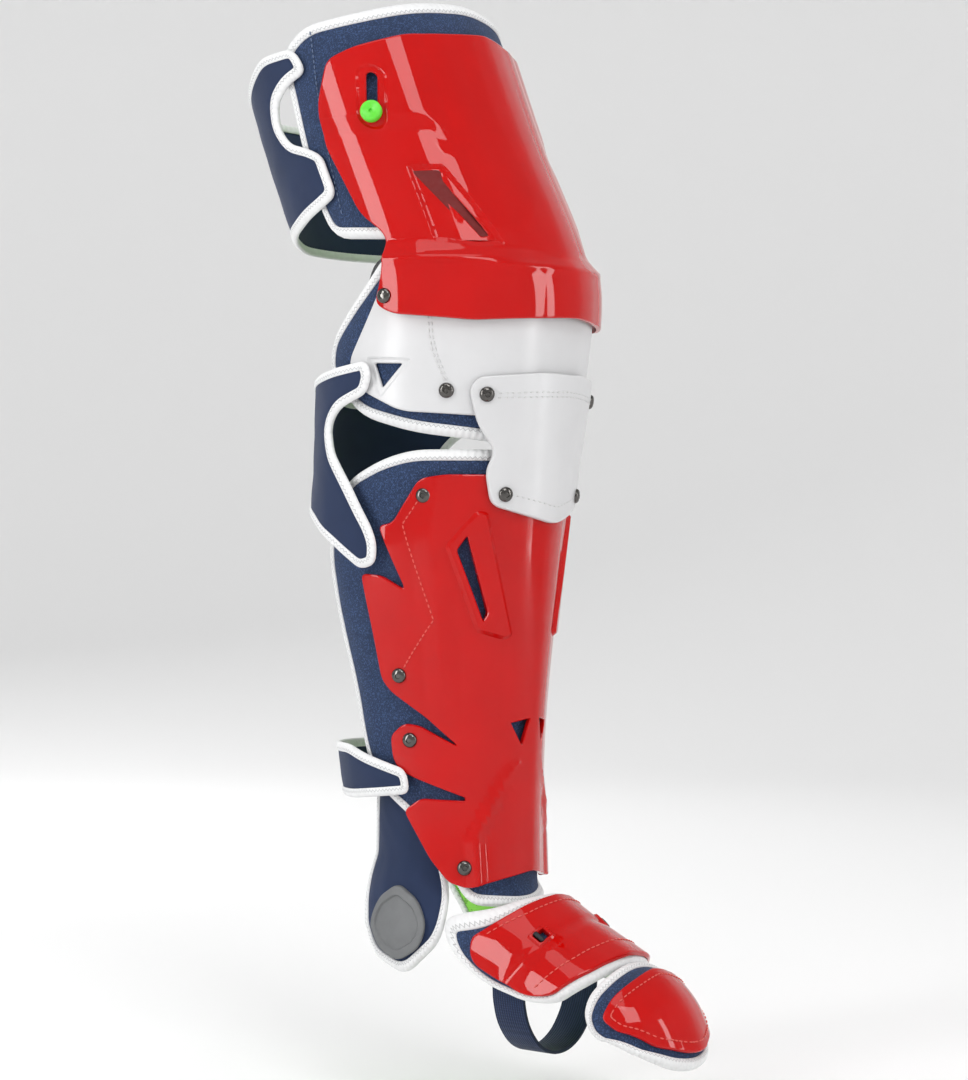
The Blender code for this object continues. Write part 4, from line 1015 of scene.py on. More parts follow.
def turned(name, rows, material, matrices, segments=36):
    """Round pieces from rows of radius and height, turned about their own axis and joined."""
    bm = bmesh.new()
    for matrix in matrices:
        verts = [bm.verts.new((radius, 0, height)) for radius, height in rows]
        edges = [bm.edges.new(pair) for pair in zip(verts, verts[1:])]
        whole = {"cent": (0, 0, 0), "axis": (0, 0, 1), "angle": 2 * math.pi, "use_merge": True}
        bmesh.ops.spin(bm, geom=verts + edges, steps=segments, **whole)
        fresh = [v for v in bm.verts if not v.tag]
        bmesh.ops.transform(bm, matrix=matrix, verts=fresh)
        for vert in bm.verts:
            vert.tag = True
    bmesh.ops.remove_doubles(bm, verts=bm.verts, dist=2e-6)
    face_outwards(bm)
    mesh = bpy.data.meshes.new(name)
    bm.to_mesh(mesh)
    bm.free()
    mesh.shade_smooth()
    mesh.set_sharp_from_angle(angle=math.radians(48))
    return add_object(name, mesh, material)


def strip_mesh(name, path, width, thickness, material, matrix, bevel=0.0003):
    """Bent strip from the side view of its middle line, with its edges eased."""
    bm = bmesh.new()
    sides = []
    for k, point in enumerate(path):
        way = (path[min(k + 1, len(path) - 1)] - path[max(k - 1, 0)]).normalized()
        side = Vector((-way.y, way.x)) * thickness / 2
        sides.append((point + side, point - side))
    ring = [a for a, _ in sides] + [b for _, b in reversed(sides)]
    low, high = loop_of(bm, ring, -width / 2), loop_of(bm, ring, width / 2)
    bmesh.ops.bridge_loops(bm, edges=low + high)
    fill(bm, [low])
    fill(bm, [high])
    face_outwards(bm)
    rims = [e for e in bm.edges if e.is_manifold and e.calc_face_angle(0.0) > math.radians(60)]
    ease = {"affect": "EDGES", "offset": bevel, "segments": 2, "profile": 0.5, "material": -1}
    bmesh.ops.bevel(bm, geom=rims, clamp_overlap=True, **ease)
    bmesh.ops.transform(bm, matrix=matrix, verts=bm.verts)
    face_outwards(bm)
    mesh = bpy.data.meshes.new(name)
    bm.to_mesh(mesh)
    bm.free()
    mesh.shade_smooth()
    mesh.set_sharp_from_angle(angle=math.radians(40))
    return add_object(name, mesh, material)


class PieceOperator:
    """What every piece's operator shares."""

    bl_options = {"REGISTER", "UNDO"}

    def execute(self, context):
        self.build(context.scene.guard_sizes)
        return {"FINISHED"}


def slot_ring(angle, height, length, width, tilt, count=20):
    centre, half = Vector((across(angle), height)), count // 2
    ring = []
    for k in range(count):
        turn = math.pi * (k if k < half else k - 1) / (half - 1)
        shift = (length - width) / 2 * (1 if k < half else -1)
        spot = Vector((math.cos(turn), math.sin(turn))) * width / 2 + Vector((0, shift))
        ring.append(centre + Matrix.Rotation(math.radians(tilt), 2) @ spot)
    return ring


def both(outline):
    return [outline, flip(outline)]


class GUARD_OT_knee_cap(PieceOperator, Operator):
    """Gloss knee cap with its ridge, band, vents in their pockets, and slotted side bosses"""

    bl_idname = "guard.knee_cap"
    bl_label = "Knee cap"

    def build(self, size):
        low, high = size.shell_gap, size.shell_gap + size.shell_thickness
        ring = rounded(laid_out(mirrored(OUTLINES["knee_cap"]), "knee_cap"), 0.006)
        panels = []
        for side, pocket, vent in zip((1, -1), both(CAP_POCKET), both(CAP_VENT)):
            vent = rounded(laid_out(vent, "knee_cap"), 0.0015, arc=3)
            panels.append((rounded(laid_out(pocket, "knee_cap"), 0.003), -0.0020, 0.0030, [vent]))
            place = side * SLOT_PLACE[0], level("knee_cap", SLOT_PLACE[1])
            slot = slot_ring(*place, 0.030, 0.006, side * SLOT_TILT)
            oval = slot_ring(*place, 0.040, 0.0165, side * SLOT_TILT, 32)
            panels.append((rounded(oval, 0.0005, arc=1), -0.0011, 0.0016, [slot]))
        bm = plate(ring, low, high, 0.0010, panels=panels)
        cap = bend("knee_cap_shell", bm, LegForm(size), ["gloss_red"], cap_relief, gloss=True)
        settle(cap, "red_shell", "knee_cap")
        # A slanted vane under each vent, in a much darker red that paints the shade inside the vent.
        for name, vent in zip(("right", "left"), both(CAP_VENT)):
            ring = rounded(inset(laid_out(vent, "knee_cap"), -VENT_BACKING_REACH), 0.0015)
            bm = plate(ring, low - 0.0006, low - 0.0002, 0.0001)
            backing = bend("vent_backing_painted_shade_" + name, bm, LegForm(size), ["vent_red_painted_shade"], self.fold)
            settle(backing, "red_shell")

    def fold(self, x, y):
        """Slanted vane behind a vent."""
        angle, height = np.abs(angle_of(x)), sizes().guard_height
        return VENT_FOLD * ramp(angle + 100 * (y / height - 0.08), 34, 46)


class GUARD_OT_white_plates(PieceOperator, Operator):
    """White knee plate and the pointed bridge plate over the shin"""

    bl_idname = "guard.white_plates"
    bl_label = "White plates"

    def build(self, size):
        form = LegForm(size)
        low, high = size.shell_gap, size.shell_gap + size.shell_thickness
        ring = rounded(laid_out(mirrored(OUTLINES["knee_plate"]), "knee_plate"), 0.008)
        panels = []
        for hole in both(PLATE_HOLE):
            edge = laid_out(hole, "knee_plate")
            vent = rounded(edge, 0.0015, arc=3)
            panels.append((rounded(inset(edge, -0.0045), 0.004), -0.0011, 0.0016, [vent]))
        bm = plate(ring, low, high, 0.0010, panels=panels)
        settle(bend("white_knee_plate", bm, form, ["satin_white"], gloss=True), "white_shell", "knee_plate")
        low = high + PLATE_GAP
        high = low + size.shell_thickness
        ring = rounded(laid_out(mirrored(OUTLINES["bridge_plate"]), "bridge_plate"), 0.006)
        bm = plate(ring, low, high, 0.0012)
        bridge = bend("white_bridge_plate", bm, form, ["satin_white"], keel, gloss=True)
        settle(bridge, "white_shell", "bridge_plate")


class GUARD_OT_shin_shell(PieceOperator, Operator):
    """Gloss shin shell with framed vents, notches and side arms"""

    bl_idname = "guard.shin_shell"
    bl_label = "Shin shell"

    def build(self, size):
        low, high = size.shell_gap, size.shell_gap + size.shell_thickness
        ring = rounded(laid_out(mirrored(OUTLINES["shin_shell"]), "shin_shell"), 0.0045)
        panels, holes = [], []
        for vent, edge, notch in zip(both(SHELL_VENT), both(SHELL_FRAME), both(SHELL_NOTCH)):
            vent = rounded(laid_out(vent, "shin_shell"), 0.0015, arc=3)
            panels.append((rounded(laid_out(edge, "shin_shell"), 0.003), 0.0022, 0.0022, [vent]))
            holes.append(rounded(laid_out(notch, "shin_shell"), 0.001, arc=3))
        bm = plate(ring, low, high, 0.0010, holes, panels)
        shell = bend("red_shin_shell", bm, LegForm(size), ["gloss_red"], shin_relief, gloss=True)
        settle(shell, "red_shell", "shin_shell")


class GUARD_OT_pads(PieceOperator, Operator):
    """Navy pads of the leg with lime linings and white bindings"""

    bl_idname = "guard.pads"
    bl_label = "Leg pads"

    def build(self, size):
        form, low = LegForm(size), -size.pad_thickness
        for name in ("thigh_pad", "knee_pad", "shin_pad"):
            points = laid_out(mirrored(OUTLINES[name]), name)
            outer = rounded(points, 0.014)
            inner = rounded(inset(points, size.binding_width - 0.0012), 0.0125)
            bm = plate(inner, low + 0.0006, -0.0006, 0.0012, under_rim=0.0012)
            crown = swell(inner, 0.0012, 0.016, under=0.0012, edge=0.0004)
            cover = bend(name + "_cover", bm, form, ["woven_navy", "lime_mesh"], tongue_relief, crown)
            settle(cover, "navy_fabric", name, fill_share=0.7)
            edge = tape(
                name.replace("_pad", "") + "_tape", outer, rolled(low, 0.0, size.binding_width), form,
                "edge_tape", tongue_relief,
            )
            settle(edge, "white_binding", name.replace("_pad", "_binding"))


class GUARD_OT_foot(PieceOperator, Operator):
    """Pads and shells of the foot, with their bindings, stitches and small buckles"""

    bl_idname = "guard.foot"
    bl_label = "Foot pieces"

    def build(self, size):
        form = FootForm(size)
        shell_low = -size.shell_thickness
        high = shell_low - PLATE_GAP
        low = high - size.pad_thickness
        for name in ("instep_pad", "toe_pad"):
            points = laid_on_foot(mirrored(FOOT_OUTLINES[name]))
            outer = rounded(points, 0.010)
            inner = rounded(inset(points, size.binding_width - 0.0012), 0.009)
            bm = plate(inner, low + 0.0006, high - 0.0006, 0.0012, under_rim=0.0012)
            crown = swell(inner, 0.0010, 0.014, under=0.0008, edge=0.0004)
            cover = bend(name + "_cover", bm, form, ["woven_navy", "lime_mesh"], None, crown)
            settle(cover, "navy_fabric", name, fill_share=0.7)
            section = rolled(low, high, size.binding_width)
            edge = tape(name.replace("_pad", "") + "_tape", outer, section, form, "edge_tape")
            settle(edge, "white_binding", name.replace("_pad", "_binding"))
        reach = size.guard_height

        def instep_relief(x, y):
            turn = np.abs(np.degrees(x / form.radius))
            ridge = 0.0012 * np.maximum(1 - turn / 16.0, 0.0)
            fold = 0.0010 * np.exp(-(((y - 0.072 * reach) / 0.004) ** 2))
            return ridge - fold

        def toe_relief(x, y):
            turn = np.abs(np.degrees(x / form.radius))
            return 0.0016 * np.maximum(1 - turn / 20.0, 0.0)

        frames = [self.around(place, 0.0070, 0.0055, 0.0018) for place in laid_on_foot(FOOT_BUCKLES)]
        holes = [self.around(place, 0.0042, 0.0030, 0.0008) for place in laid_on_foot(FOOT_BUCKLES)]
        raised = [(edge, 0.0014, 0.0012, [hole]) for edge, hole in zip(frames, holes)]
        for name, relief in (("instep_shell", instep_relief), ("toe_shell", toe_relief)):
            points = laid_on_foot(mirrored(FOOT_OUTLINES[name]))
            panels = raised if name == "instep_shell" else []
            bm = plate(rounded(points, 0.006), shell_low, 0.0, 0.0010, panels=panels)
            shell = bend("red_" + name, bm, form, ["gloss_red"], relief, gloss=True)
            settle(shell, "red_shell", name)
        rows = [laid_on_foot(row) for row in FOOT_STITCHES]
        seams = stitch_rows("instep_seams", "red_thread", rows, form, 0.0002, instep_relief, 0.0040, 0.0030)
        settle(seams, "red_shell")
        toe = rounded(laid_on_foot(mirrored(FOOT_OUTLINES["toe_shell"])), 0.006, spacing=0.009, arc=2)
        toe = inset(toe, 0.0055)
        row = [toe + toe[:1]]
        seam = stitch_rows("toe_seam", "red_thread", row, form, 0.0002, toe_relief, 0.0036, 0.0026)
        settle(seam, "red_shell")
        for side, place in zip(("right", "left"), laid_on_foot(FOOT_BUCKLES)):
            bar = self.around(place + Vector((math.copysign(0.0022, place.x), 0)), 0.0016, 0.0038, 0.0012)
            bm = plate(bar, -0.0006, 0.0022, 0.0007, under_rim=0.0003)
            clip = bend("instep_clip_" + side, bm, form, ["gunmetal"], instep_relief, grid=0.0012)
            settle(clip, "gunmetal")

    def around(self, place, wide, tall, corner):
        corners = [place + Vector((a * wide, b * tall)) for a, b in ((1, 1), (-1, 1), (-1, -1), (1, -1))]
        return rounded(corners, corner, 0.0012, 3)


class GUARD_OT_flaps(PieceOperator, Operator):
    """Ankle flaps with their bindings and rubber patches"""

    bl_idname = "guard.flaps"
    bl_label = "Ankle flaps"

    def build(self, size):
        form = LegForm(size)
        high = -size.pad_thickness - 0.0004 - PIECE_GAP * 2
        low = high - 0.006
        for name, wing, patch in zip(("right", "left"), both(WING_EDGE), both(PATCH_EDGE)):
            points = laid_out(wing, "ankle_wing")
            outer = rounded(points, 0.012)
            inner = rounded(inset(points, 0.0052), 0.011)
            bm = plate(inner, low + 0.0006, high - 0.0006, 0.0012, under_rim=0.0012)
            crown = swell(inner, 0.0006, 0.014, under=0.0010, edge=0.0004)
            cover = bend("ankle_flap_" + name, bm, form, ["stretch_navy", "lime_mesh"], wing_relief, crown)
            settle(cover, "navy_fabric", "ankle_wing_" + name, fill_share=0.6)
            section = rolled(low, high, 0.0064)
            edge = tape("ankle_flap_tape_" + name, outer, section, form, "edge_tape", wing_relief)
            settle(edge, "white_binding")
            ring = rounded(laid_out(patch, "ankle_wing"), 0.008)
            centre = [(rounded(inset(laid_out(patch, "ankle_wing"), 0.0050), 0.006), -0.0012, 0.0010, [])]
            bm = plate(ring, high + PIECE_GAP, high + PIECE_GAP + 0.0026, 0.0009, panels=centre)
            rubber = bend("rubber_patch_" + name, bm, form, ["grey_rubber"], wing_relief, grid=FINE)
            settle(rubber, "grey_rubber", "ankle_patch_" + name)


class GUARD_OT_liners(PieceOperator, Operator):
    """Mesh liners inside the knee and shin, and the gel cushion"""

    bl_idname = "guard.liners"
    bl_label = "Liners"

    def build(self, size):
        form = LegForm(size)
        high = -size.pad_thickness - 0.0004 - LINER_GAP
        for name, thickness in (("knee_liner", size.liner_thickness), ("shin_liner", 0.0066)):
            ring = rounded(laid_out(mirrored(OUTLINES[name]), name), 0.014)
            bm = plate(ring, high - thickness * 0.35, high, 0.0012, under_rim=0.0012)

            def cushion(x, y, upper, lower, ring=ring, depth=thickness * 0.65):
                away = edge_distance(x, y, ring)
                seam = np.exp(-(((away - 0.008) / 0.0022) ** 2))
                full = np.sqrt(np.clip(1 - (1 - np.clip((away - 0.006) / 0.016, 0, 1)) ** 2, 0, 1))
                quilt = 0.0005 * np.sin(x * 210) * np.sin(y * 170)
                return np.where(lower, -depth * full + 0.0006 * seam + quilt * full, 0.0)

            liner = bend(name + "_cushion", bm, form, ["charcoal_mesh"], None, cushion)
            settle(liner, "grey_mesh", name, fill_share=0.7)
        ring = rounded(laid_out(mirrored(OUTLINES["gel_pad"]), "knee_liner"), 0.010)
        gel_high = high - size.liner_thickness - GEL_GAP
        bm = plate(ring, gel_high - 0.003, gel_high + 0.0015, 0.0010, under_rim=0.0011)

        def dome(x, y, upper, lower):
            away = edge_distance(x, y, ring)
            rim = np.exp(-(((away - 0.0042) / 0.0012) ** 2))
            return np.where(lower, 0.0007 * rim, 0.0)

        gel = bend("gel_cushion", bm, form, ["clear_gel"], None, dome, grid=FINE)
        settle(gel, "green_gel", "gel_pad", fill_share=0.9)
        rows = [
            (0.0, 0.0002), (0.0060, 0.0002), (0.0068, 0.0008), (0.0078, 0.0011), (0.0088, 0.0008),
            (0.0092, 0.0),
        ]
        spot = surface_frame(form, 0.0, level("knee_liner", 0.41), gel_high - 0.0032)
        spot = spot @ Matrix.Rotation(math.pi, 4, "X")
        settle(turned("gel_disc", rows, "grey_rubber", [spot]), "grey_rubber")


class GUARD_OT_straps(PieceOperator, Operator):
    """Forked stretch straps and the ankle band with bound edges"""

    bl_idname = "guard.straps"
    bl_label = "Straps"

    def build(self, size):
        form = LegForm(size)
        over_shell = size.shell_gap + size.shell_thickness + PIECE_GAP * 2
        for name, low, relief in (
            ("thigh_strap", size.strap_lift, None),
            ("calf_strap", size.strap_lift, calf_relief),
            ("ankle_strap", over_shell, None),
        ):
            points = laid_high(STRAPS[name])
            outer = rounded(points, 0.008)
            inner = rounded(inset(points, 0.0042), 0.007)
            high = low + size.strap_thickness
            bm = plate(inner, low + 0.0006, high - 0.0006, 0.0006, under_rim=0.0006)
            crown = swell(inner, 0.0005, 0.010, under=0.0002, edge=0.0)
            panel = bend(name + "_panel", bm, form, ["stretch_navy"], relief, crown)
            settle(panel, "navy_strap", name, fill_share=0.3)
            edge = tape(name + "_tape", outer, rolled(low, high, 0.0052, 0.0004), form, "edge_tape", relief)
            settle(edge, "white_binding")


class GUARD_OT_hitches(PieceOperator, Operator):
    """D-rings, webbing loops and hooks that hold the straps"""

    bl_idname = "guard.hitches"
    bl_label = "Rings and hooks"

    def build(self, size):
        form = LegForm(size)
        wire, web = 0.0012, 0.0014
        for name, hitch in HITCHES.items():
            height = hitch.height * size.guard_height
            seat = self.square_frame(form, hitch.angle, height, hitch.lift)
            matrix = seat @ Matrix.Translation((0, 0, wire + web + PIECE_GAP))
            self.ring(name, matrix, wire)
            middle = wire + PIECE_GAP + web / 2
            turn = Matrix.Rotation(math.pi / 2, 4, "X")
            bends = [(math.sin(math.radians(a)), math.cos(math.radians(a))) for a in range(0, 181, 15)]
            under = -middle + web + PIECE_GAP
            fold = [Vector((-0.016, -middle)), Vector((-0.008, -middle))]
            fold += [Vector((middle * side, -middle * over)) for side, over in bends]
            fold += [Vector((-middle, middle * 0.9)), Vector((-middle * 2.2, under)), Vector((-0.016, under))]
            loop = strip_mesh(name + "_web", fold, 0.020, web, "ribbed_webbing", matrix @ turn)
            settle(loop, "navy_webbing", name + "_loop")
            reach = math.degrees(0.040 / ((size.knee_width + size.knee_depth) / 4))
            lift = size.strap_lift + size.strap_thickness + 0.0014 + 0.0009
            bar = self.square_frame(form, hitch.angle + reach, height, lift)
            self.hook(name, matrix, bar, wire)

    def square_frame(self, form, angle, height, lift):
        """Frame over the form that stands square to its surface."""
        x = across(angle)
        xs = np.array([x, x + 0.0007, x - 0.0007, x, x])
        ys = np.array([height, height, height, height + 0.004, height - 0.004])
        rings = [Vector(p) for p in form.place(xs, ys, np.zeros(5))]
        way, up = (rings[1] - rings[2]).normalized(), (rings[3] - rings[4]).normalized()
        out = way.cross(up).normalized()
        point = Vector(form.place(xs[:1], ys[:1], np.array([lift]))[0])
        return Matrix.Translation(point) @ Matrix((way, out.cross(way), out)).transposed().to_4x4()

    def ring(self, name, matrix, wire):
        curve = bpy.data.curves.new(name + "_d_ring", "CURVE")
        curve.dimensions = "3D"
        curve.bevel_depth = wire
        curve.bevel_resolution = 3
        half, depth = 0.013, 0.016
        places = [(0.0, -half * 0.80), (0.0, -half * 0.4), (0.0, 0.0), (0.0, half * 0.4), (0.0, half * 0.80)]
        for k in range(17):
            turn = math.radians(84 - 10.5 * k)
            places.append((depth * 0.10 + depth * 0.90 * math.cos(turn), half * math.sin(turn)))
        spline = curve.splines.new("POLY")
        spline.points.add(len(places) - 1)
        for point, (x, y) in zip(spline.points, places):
            point.co = (x, y, 0.0, 1.0)
        spline.use_cyclic_u = True
        holder = bpy.data.objects.new(name, curve)
        bpy.context.scene.collection.objects.link(holder)
        bpy.context.view_layer.update()
        mesh = bpy.data.meshes.new_from_object(holder)
        bpy.data.objects.remove(holder)
        mesh.transform(matrix)
        mesh.name = name + "_d_ring"
        mesh.materials.clear()
        mesh.shade_smooth()
        settle(add_object(name + "_d_ring", mesh, "bright_chrome"), "chrome", name + "_ring")

    def hook(self, name, matrix, bar, wire):
        start = matrix @ Vector((0.016, 0.0, 0.0))
        along = bar.translation - start
        length = along.length
        along.normalize()
        out = bar.to_3x3() @ Vector((0, 0, 1))
        out = (out - along * out.dot(along)).normalized()
        seat = Matrix.Translation(start) @ Matrix((along, out.cross(along), out)).transposed().to_4x4()
        middle = wire + 0.0012 + 0.0009
        bends = [(math.sin(math.radians(a)), math.cos(math.radians(a))) for a in range(0, 181, 15)]
        curl = [Vector((length, 0.0)), Vector((length - 0.006, 0.0)), Vector((middle * 1.6, middle))]
        curl += [Vector((-middle * side, middle * over)) for side, over in bends]
        turn = Matrix.Rotation(math.pi / 2, 4, "X")
        body = strip_mesh(name + "_strip", curl, 0.006, 0.0018, "gunmetal", seat @ turn)
        bm = bmesh.new()
        bm.from_mesh(body.data)
        bpy.data.objects.remove(body)
        corners = ((1, 1), (-1, 1), (-1, -1), (1, -1))
        ring = rounded([Vector((sx * 0.003, sy * 0.015)) for sx, sy in corners], 0.0025)
        slots = [
            rounded([Vector((sx * 0.0010, y + sy * 0.0045)) for sx, sy in corners], 0.0009)
            for y in (-0.0085, 0.0085)
        ]
        cross = plate(ring, -0.0010, 0.0010, 0.0004, slots, under_rim=0.0004)
        place = seat @ Matrix.Translation((length - 0.003, 0, 0))
        bmesh.ops.transform(cross, matrix=place, verts=cross.verts)
        face_outwards(cross)
        mesh = bpy.data.meshes.new(name)
        cross.to_mesh(mesh)
        cross.free()
        bm.from_mesh(mesh)
        bm.to_mesh(mesh)
        bm.free()
        mesh.name = name + "_clip"
        mesh.shade_smooth()
        mesh.set_sharp_from_angle(angle=math.radians(40))
        settle(add_object(name + "_clip", mesh, "gunmetal"), "gunmetal", name + "_hook")


class GUARD_OT_fasteners(PieceOperator, Operator):
    """Domed rivets and the green knobs of the cap"""

    bl_idname = "guard.fasteners"
    bl_label = "Rivets and knobs"

    def build(self, size):
        form = LegForm(size)
        high = size.shell_gap + size.shell_thickness
        over = high + PLATE_GAP + size.shell_thickness
        radius, dome = 0.0044, 0.0022
        rows = [
            (0.0, dome * 0.72), (radius * 0.30, dome * 0.74), (radius * 0.36, dome),
            (radius * 0.62, dome * 0.93),
            (radius * 0.88, dome * 0.62), (radius, 0.0004), (radius, 0.0), (0.0, 0.0),
        ]
        placed = {"cap_rivet": [], "plate_rivet": [], "bridge_rivet": [], "shin_rivet": []}
        for side, word in ((1, "right"), (-1, "left")):
            angle, share = CAP_BAND_RIVET
            height = level("knee_cap", share)
            lift = high + float(cap_relief(np.array(across(angle)), np.array(height)))
            placed["cap_rivet"].append((side * angle, height, lift, ["cap_rivet_" + word]))
            angle, share = PLATE_RIVET
            spot = (side * angle, level("knee_plate", share), high, ["plate_rivet_" + word])
            placed["plate_rivet"].append(spot)
            for k, (angle, share) in enumerate(BRIDGE_RIVETS):
                node = f"bridge_rivet_{word}_{k + 1}"
                placed["bridge_rivet"].append((side * angle, level("bridge_plate", share), over, [node]))
            for k, (angle, share) in enumerate(SHELL_RIVETS):
                node = f"shin_rivet_{word}_{k + 1}"
                placed["shin_rivet"].append((side * angle, level("shin_shell", share), high, [node]))
        for name, places in placed.items():
            matrices = [surface_frame(form, across(a), z, lift + 0.0002) for a, z, lift, _ in places]
            nodes = [node for *_, names in places for node in names]
            settle(turned(name + "_heads", rows, "dark_chrome", matrices), "dark_chrome", *nodes)
        radius, tall = 0.0063, 0.0040
        rows = [
            (0.0, tall * 0.55), (radius * 0.15, tall * 0.55), (radius * 0.19, tall * 0.78),
            (radius * 0.62, tall * 0.90),
            (radius * 0.70, tall), (radius * 0.88, tall * 0.98), (radius, tall * 0.80), (radius, 0.0),
            (0.0020, 0.0), (0.0020, -0.0024), (0.0, -0.0024),
        ]
        for side, word in ((1, "right"), (-1, "left")):
            height = level("knee_cap", KNOB_PLACE[1])
            place = surface_frame(form, across(side * KNOB_PLACE[0]), height, high + 0.0020)
            knob = turned("green_knob_" + word, rows, "green_moulding", [place])
            settle(knob, "green_knob", "cap_knob_" + word)


class GUARD_OT_foot_strap(PieceOperator, Operator):
    """Webbing loop under the foot"""

    bl_idname = "guard.foot_strap"
    bl_label = "Foot strap"

    def build(self, size):
        half, drop = size.foot_width / 2 - 0.0137, 0.043
        sag = [(-1.0, 0.0), (-0.98, -0.25), (-0.86, -0.55), (-0.6, -0.82), (-0.3, -0.96), (0.0, -1.0)]
        sag += [(-x, z) for x, z in reversed(sag[:-1])]
        path = [Vector((x * half, z * drop)) for x, z in sag]
        smooth = []
        for k in range(len(path) - 1):
            p0, p1, p2, p3 = path[max(k - 1, 0)], path[k], path[k + 1], path[min(k + 2, len(path) - 1)]
            for n in range(4):
                t = n / 4
                smooth.append(0.5 * (2 * p1 + (p2 - p0) * t + (2 * p0 - 5 * p1 + 4 * p2 - p3) * t * t
                                     + (3 * p1 - p0 - 3 * p2 + p3) * t**3))
        smooth.append(path[-1])
        place = Matrix.Translation((0.0, -0.1062 * size.guard_height, -0.6219 * size.guard_height))
        place = place @ Matrix.Rotation(math.pi / 2, 4, "X")
        strap = strip_mesh("foot_webbing", smooth, 0.022, 0.0020, "ribbed_webbing", place)
        settle(strap, "navy_webbing", "foot_strap")


class GUARD_OT_stitches(PieceOperator, Operator):
    """Stitch rows of the plates and the shin shell"""

    bl_idname = "guard.stitches"
    bl_label = "Stitches"

    def build(self, size):
        form = LegForm(size)
        for name, (material, lift, rows) in STITCHES.items():
            lines = [laid_high(row) for row in rows] + [laid_high([(-a, z) for a, z in row]) for row in rows]
            relief = {"shell_stitches": shin_relief, "bridge_stitches": keel}.get(name)
            slot = {"red_thread": "red_shell", "navy_thread": "navy_fabric"}.get(material, "white_shell")
            settle(stitch_rows(name, material, lines, form, lift, relief), slot)


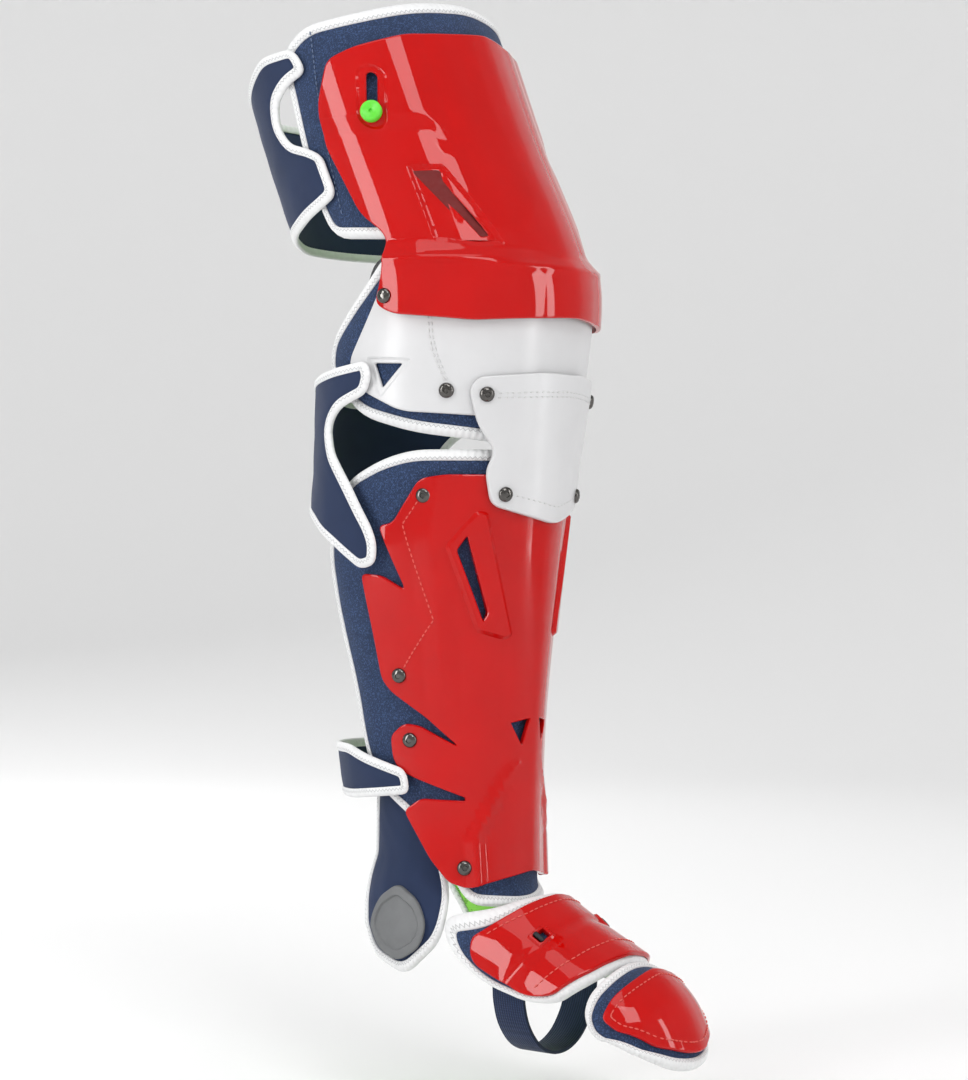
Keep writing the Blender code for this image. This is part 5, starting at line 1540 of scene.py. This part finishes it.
class GUARD_OT_stage(PieceOperator, Operator):
    """Pale round studio, soft lights and the camera"""

    bl_idname = "guard.stage"
    bl_label = "Stage, lights and camera"

    def build(self, size):
        floor_height, wall = -0.475, 3.2
        bm = bmesh.new()
        rows = [(0.0, 0.0), (2.0, 0.0)]
        for degrees in range(6, 91, 6):
            turn = math.radians(degrees)
            rows.append((2.0 + 1.2 * math.sin(turn), 1.2 - 1.2 * math.cos(turn)))
        rows.append((wall, 3.4))
        verts = [bm.verts.new((radius, 0, floor_height + height)) for radius, height in rows]
        edges = [bm.edges.new(pair) for pair in zip(verts, verts[1:])]
        whole = {"cent": (0, 0, 0), "axis": (0, 0, 1), "angle": 2 * math.pi, "use_merge": True}
        bmesh.ops.spin(bm, geom=verts + edges, steps=96, **whole)
        bmesh.ops.remove_doubles(bm, verts=bm.verts, dist=1e-5)
        bmesh.ops.recalc_face_normals(bm, faces=bm.faces)
        outward = [
            face for face in bm.faces
            if face.normal.z < -0.5 or face.normal.xy.dot(face.calc_center_median().xy) > 0.1
        ]
        bmesh.ops.reverse_faces(bm, faces=outward)
        mesh = bpy.data.meshes.new("studio_floor")
        bm.to_mesh(mesh)
        bm.free()
        mesh.shade_smooth()
        floor = bpy.data.objects.new("studio_floor", mesh)
        bpy.context.scene.collection.objects.link(floor)
        paint = Finish("studio_paint", (0.90, 0.90, 0.90), 0.9)
        mesh.materials.append(paint.material)
        world = bpy.data.worlds.new("studio_air")
        world.use_nodes = True
        world.node_tree.nodes["Background"].inputs["Color"].default_value = (1.0, 1.0, 1.0, 1.0)
        world.node_tree.nodes["Background"].inputs["Strength"].default_value = 0.50
        bpy.context.scene.world = world
        for name, azimuth, height, away, wide, tall, power in (
            ("key_light", -106, 0.25, 1.7, 0.34, 1.5, 14.0),
            ("fill_light", 14, 0.0, 1.9, 0.22, 1.7, 9.0),
            ("top_light", -60, 2.1, 0.9, 1.4, 1.4, 13.0),
            ("upper_light", -30, 1.25, 1.5, 0.75, 0.7, 10.0),
            ("back_light", 150, 0.9, 1.9, 0.9, 1.4, 14.0),
        ):
            light = bpy.data.lights.new(name, "AREA")
            light.shape = "RECTANGLE"
            light.size, light.size_y, light.energy = wide, tall, power
            lamp = bpy.data.objects.new(name, light)
            bpy.context.scene.collection.objects.link(lamp)
            turn = math.radians(azimuth)
            lamp.location = (away * math.sin(turn), -away * math.cos(turn), height)
            lamp.rotation_euler = (Vector((0, 0, -0.14)) - lamp.location).to_track_quat("-Z", "Y").to_euler()
        turn, away, height, span = math.radians(-52), 1.5, -0.144, 0.6e-3 * 1080
        camera = bpy.data.cameras.new("main_camera")
        camera.sensor_fit = "VERTICAL"
        camera.sensor_height = 24.0
        camera.lens = 24.0 * away / span
        camera.clip_start = 0.05
        camera.shift_x = (230 - 200) / 1080
        view = bpy.data.objects.new("main_camera", camera)
        bpy.context.scene.collection.objects.link(view)
        view.location = (away * math.sin(turn), -away * math.cos(turn), height)
        view.rotation_euler = (math.radians(90), 0.0, turn)
        bpy.context.scene.camera = view
        bpy.context.scene.view_settings.view_transform = "Standard"


PIECES = (
    GUARD_OT_knee_cap,
    GUARD_OT_white_plates,
    GUARD_OT_shin_shell,
    GUARD_OT_pads,
    GUARD_OT_foot,
    GUARD_OT_flaps,
    GUARD_OT_liners,
    GUARD_OT_straps,
    GUARD_OT_hitches,
    GUARD_OT_fasteners,
    GUARD_OT_foot_strap,
    GUARD_OT_stitches,
    GUARD_OT_stage,
)


class GUARD_PT_sidebar(Panel):
    """Sizes, colours and the pieces of the leg guard"""

    bl_idname = "GUARD_PT_sidebar"
    bl_label = "Leg Guard"
    bl_space_type = "VIEW_3D"
    bl_region_type = "UI"
    bl_category = "Leg Guard"

    def draw(self, context):
        for group in (context.scene.guard_sizes, context.scene.guard_colours):
            for name in group.bl_rna.properties.keys():
                if name not in ("rna_type", "name"):
                    self.layout.prop(group, name)
        for piece in PIECES:
            self.layout.operator(piece.bl_idname)


CLASSES = (GuardSizes, GuardColours, *PIECES, GUARD_PT_sidebar)


def register():
    for cls in CLASSES:
        bpy.utils.register_class(cls)
    bpy.types.Scene.guard_sizes = PointerProperty(type=GuardSizes)
    bpy.types.Scene.guard_colours = PointerProperty(type=GuardColours)


def unregister():
    del bpy.types.Scene.guard_colours
    del bpy.types.Scene.guard_sizes
    for cls in reversed(CLASSES):
        bpy.utils.unregister_class(cls)


def main():
    register()
    for piece in PIECES:
        group, name = piece.bl_idname.split(".")
        getattr(getattr(bpy.ops, group), name)()


if __name__ == "__main__":
    main()
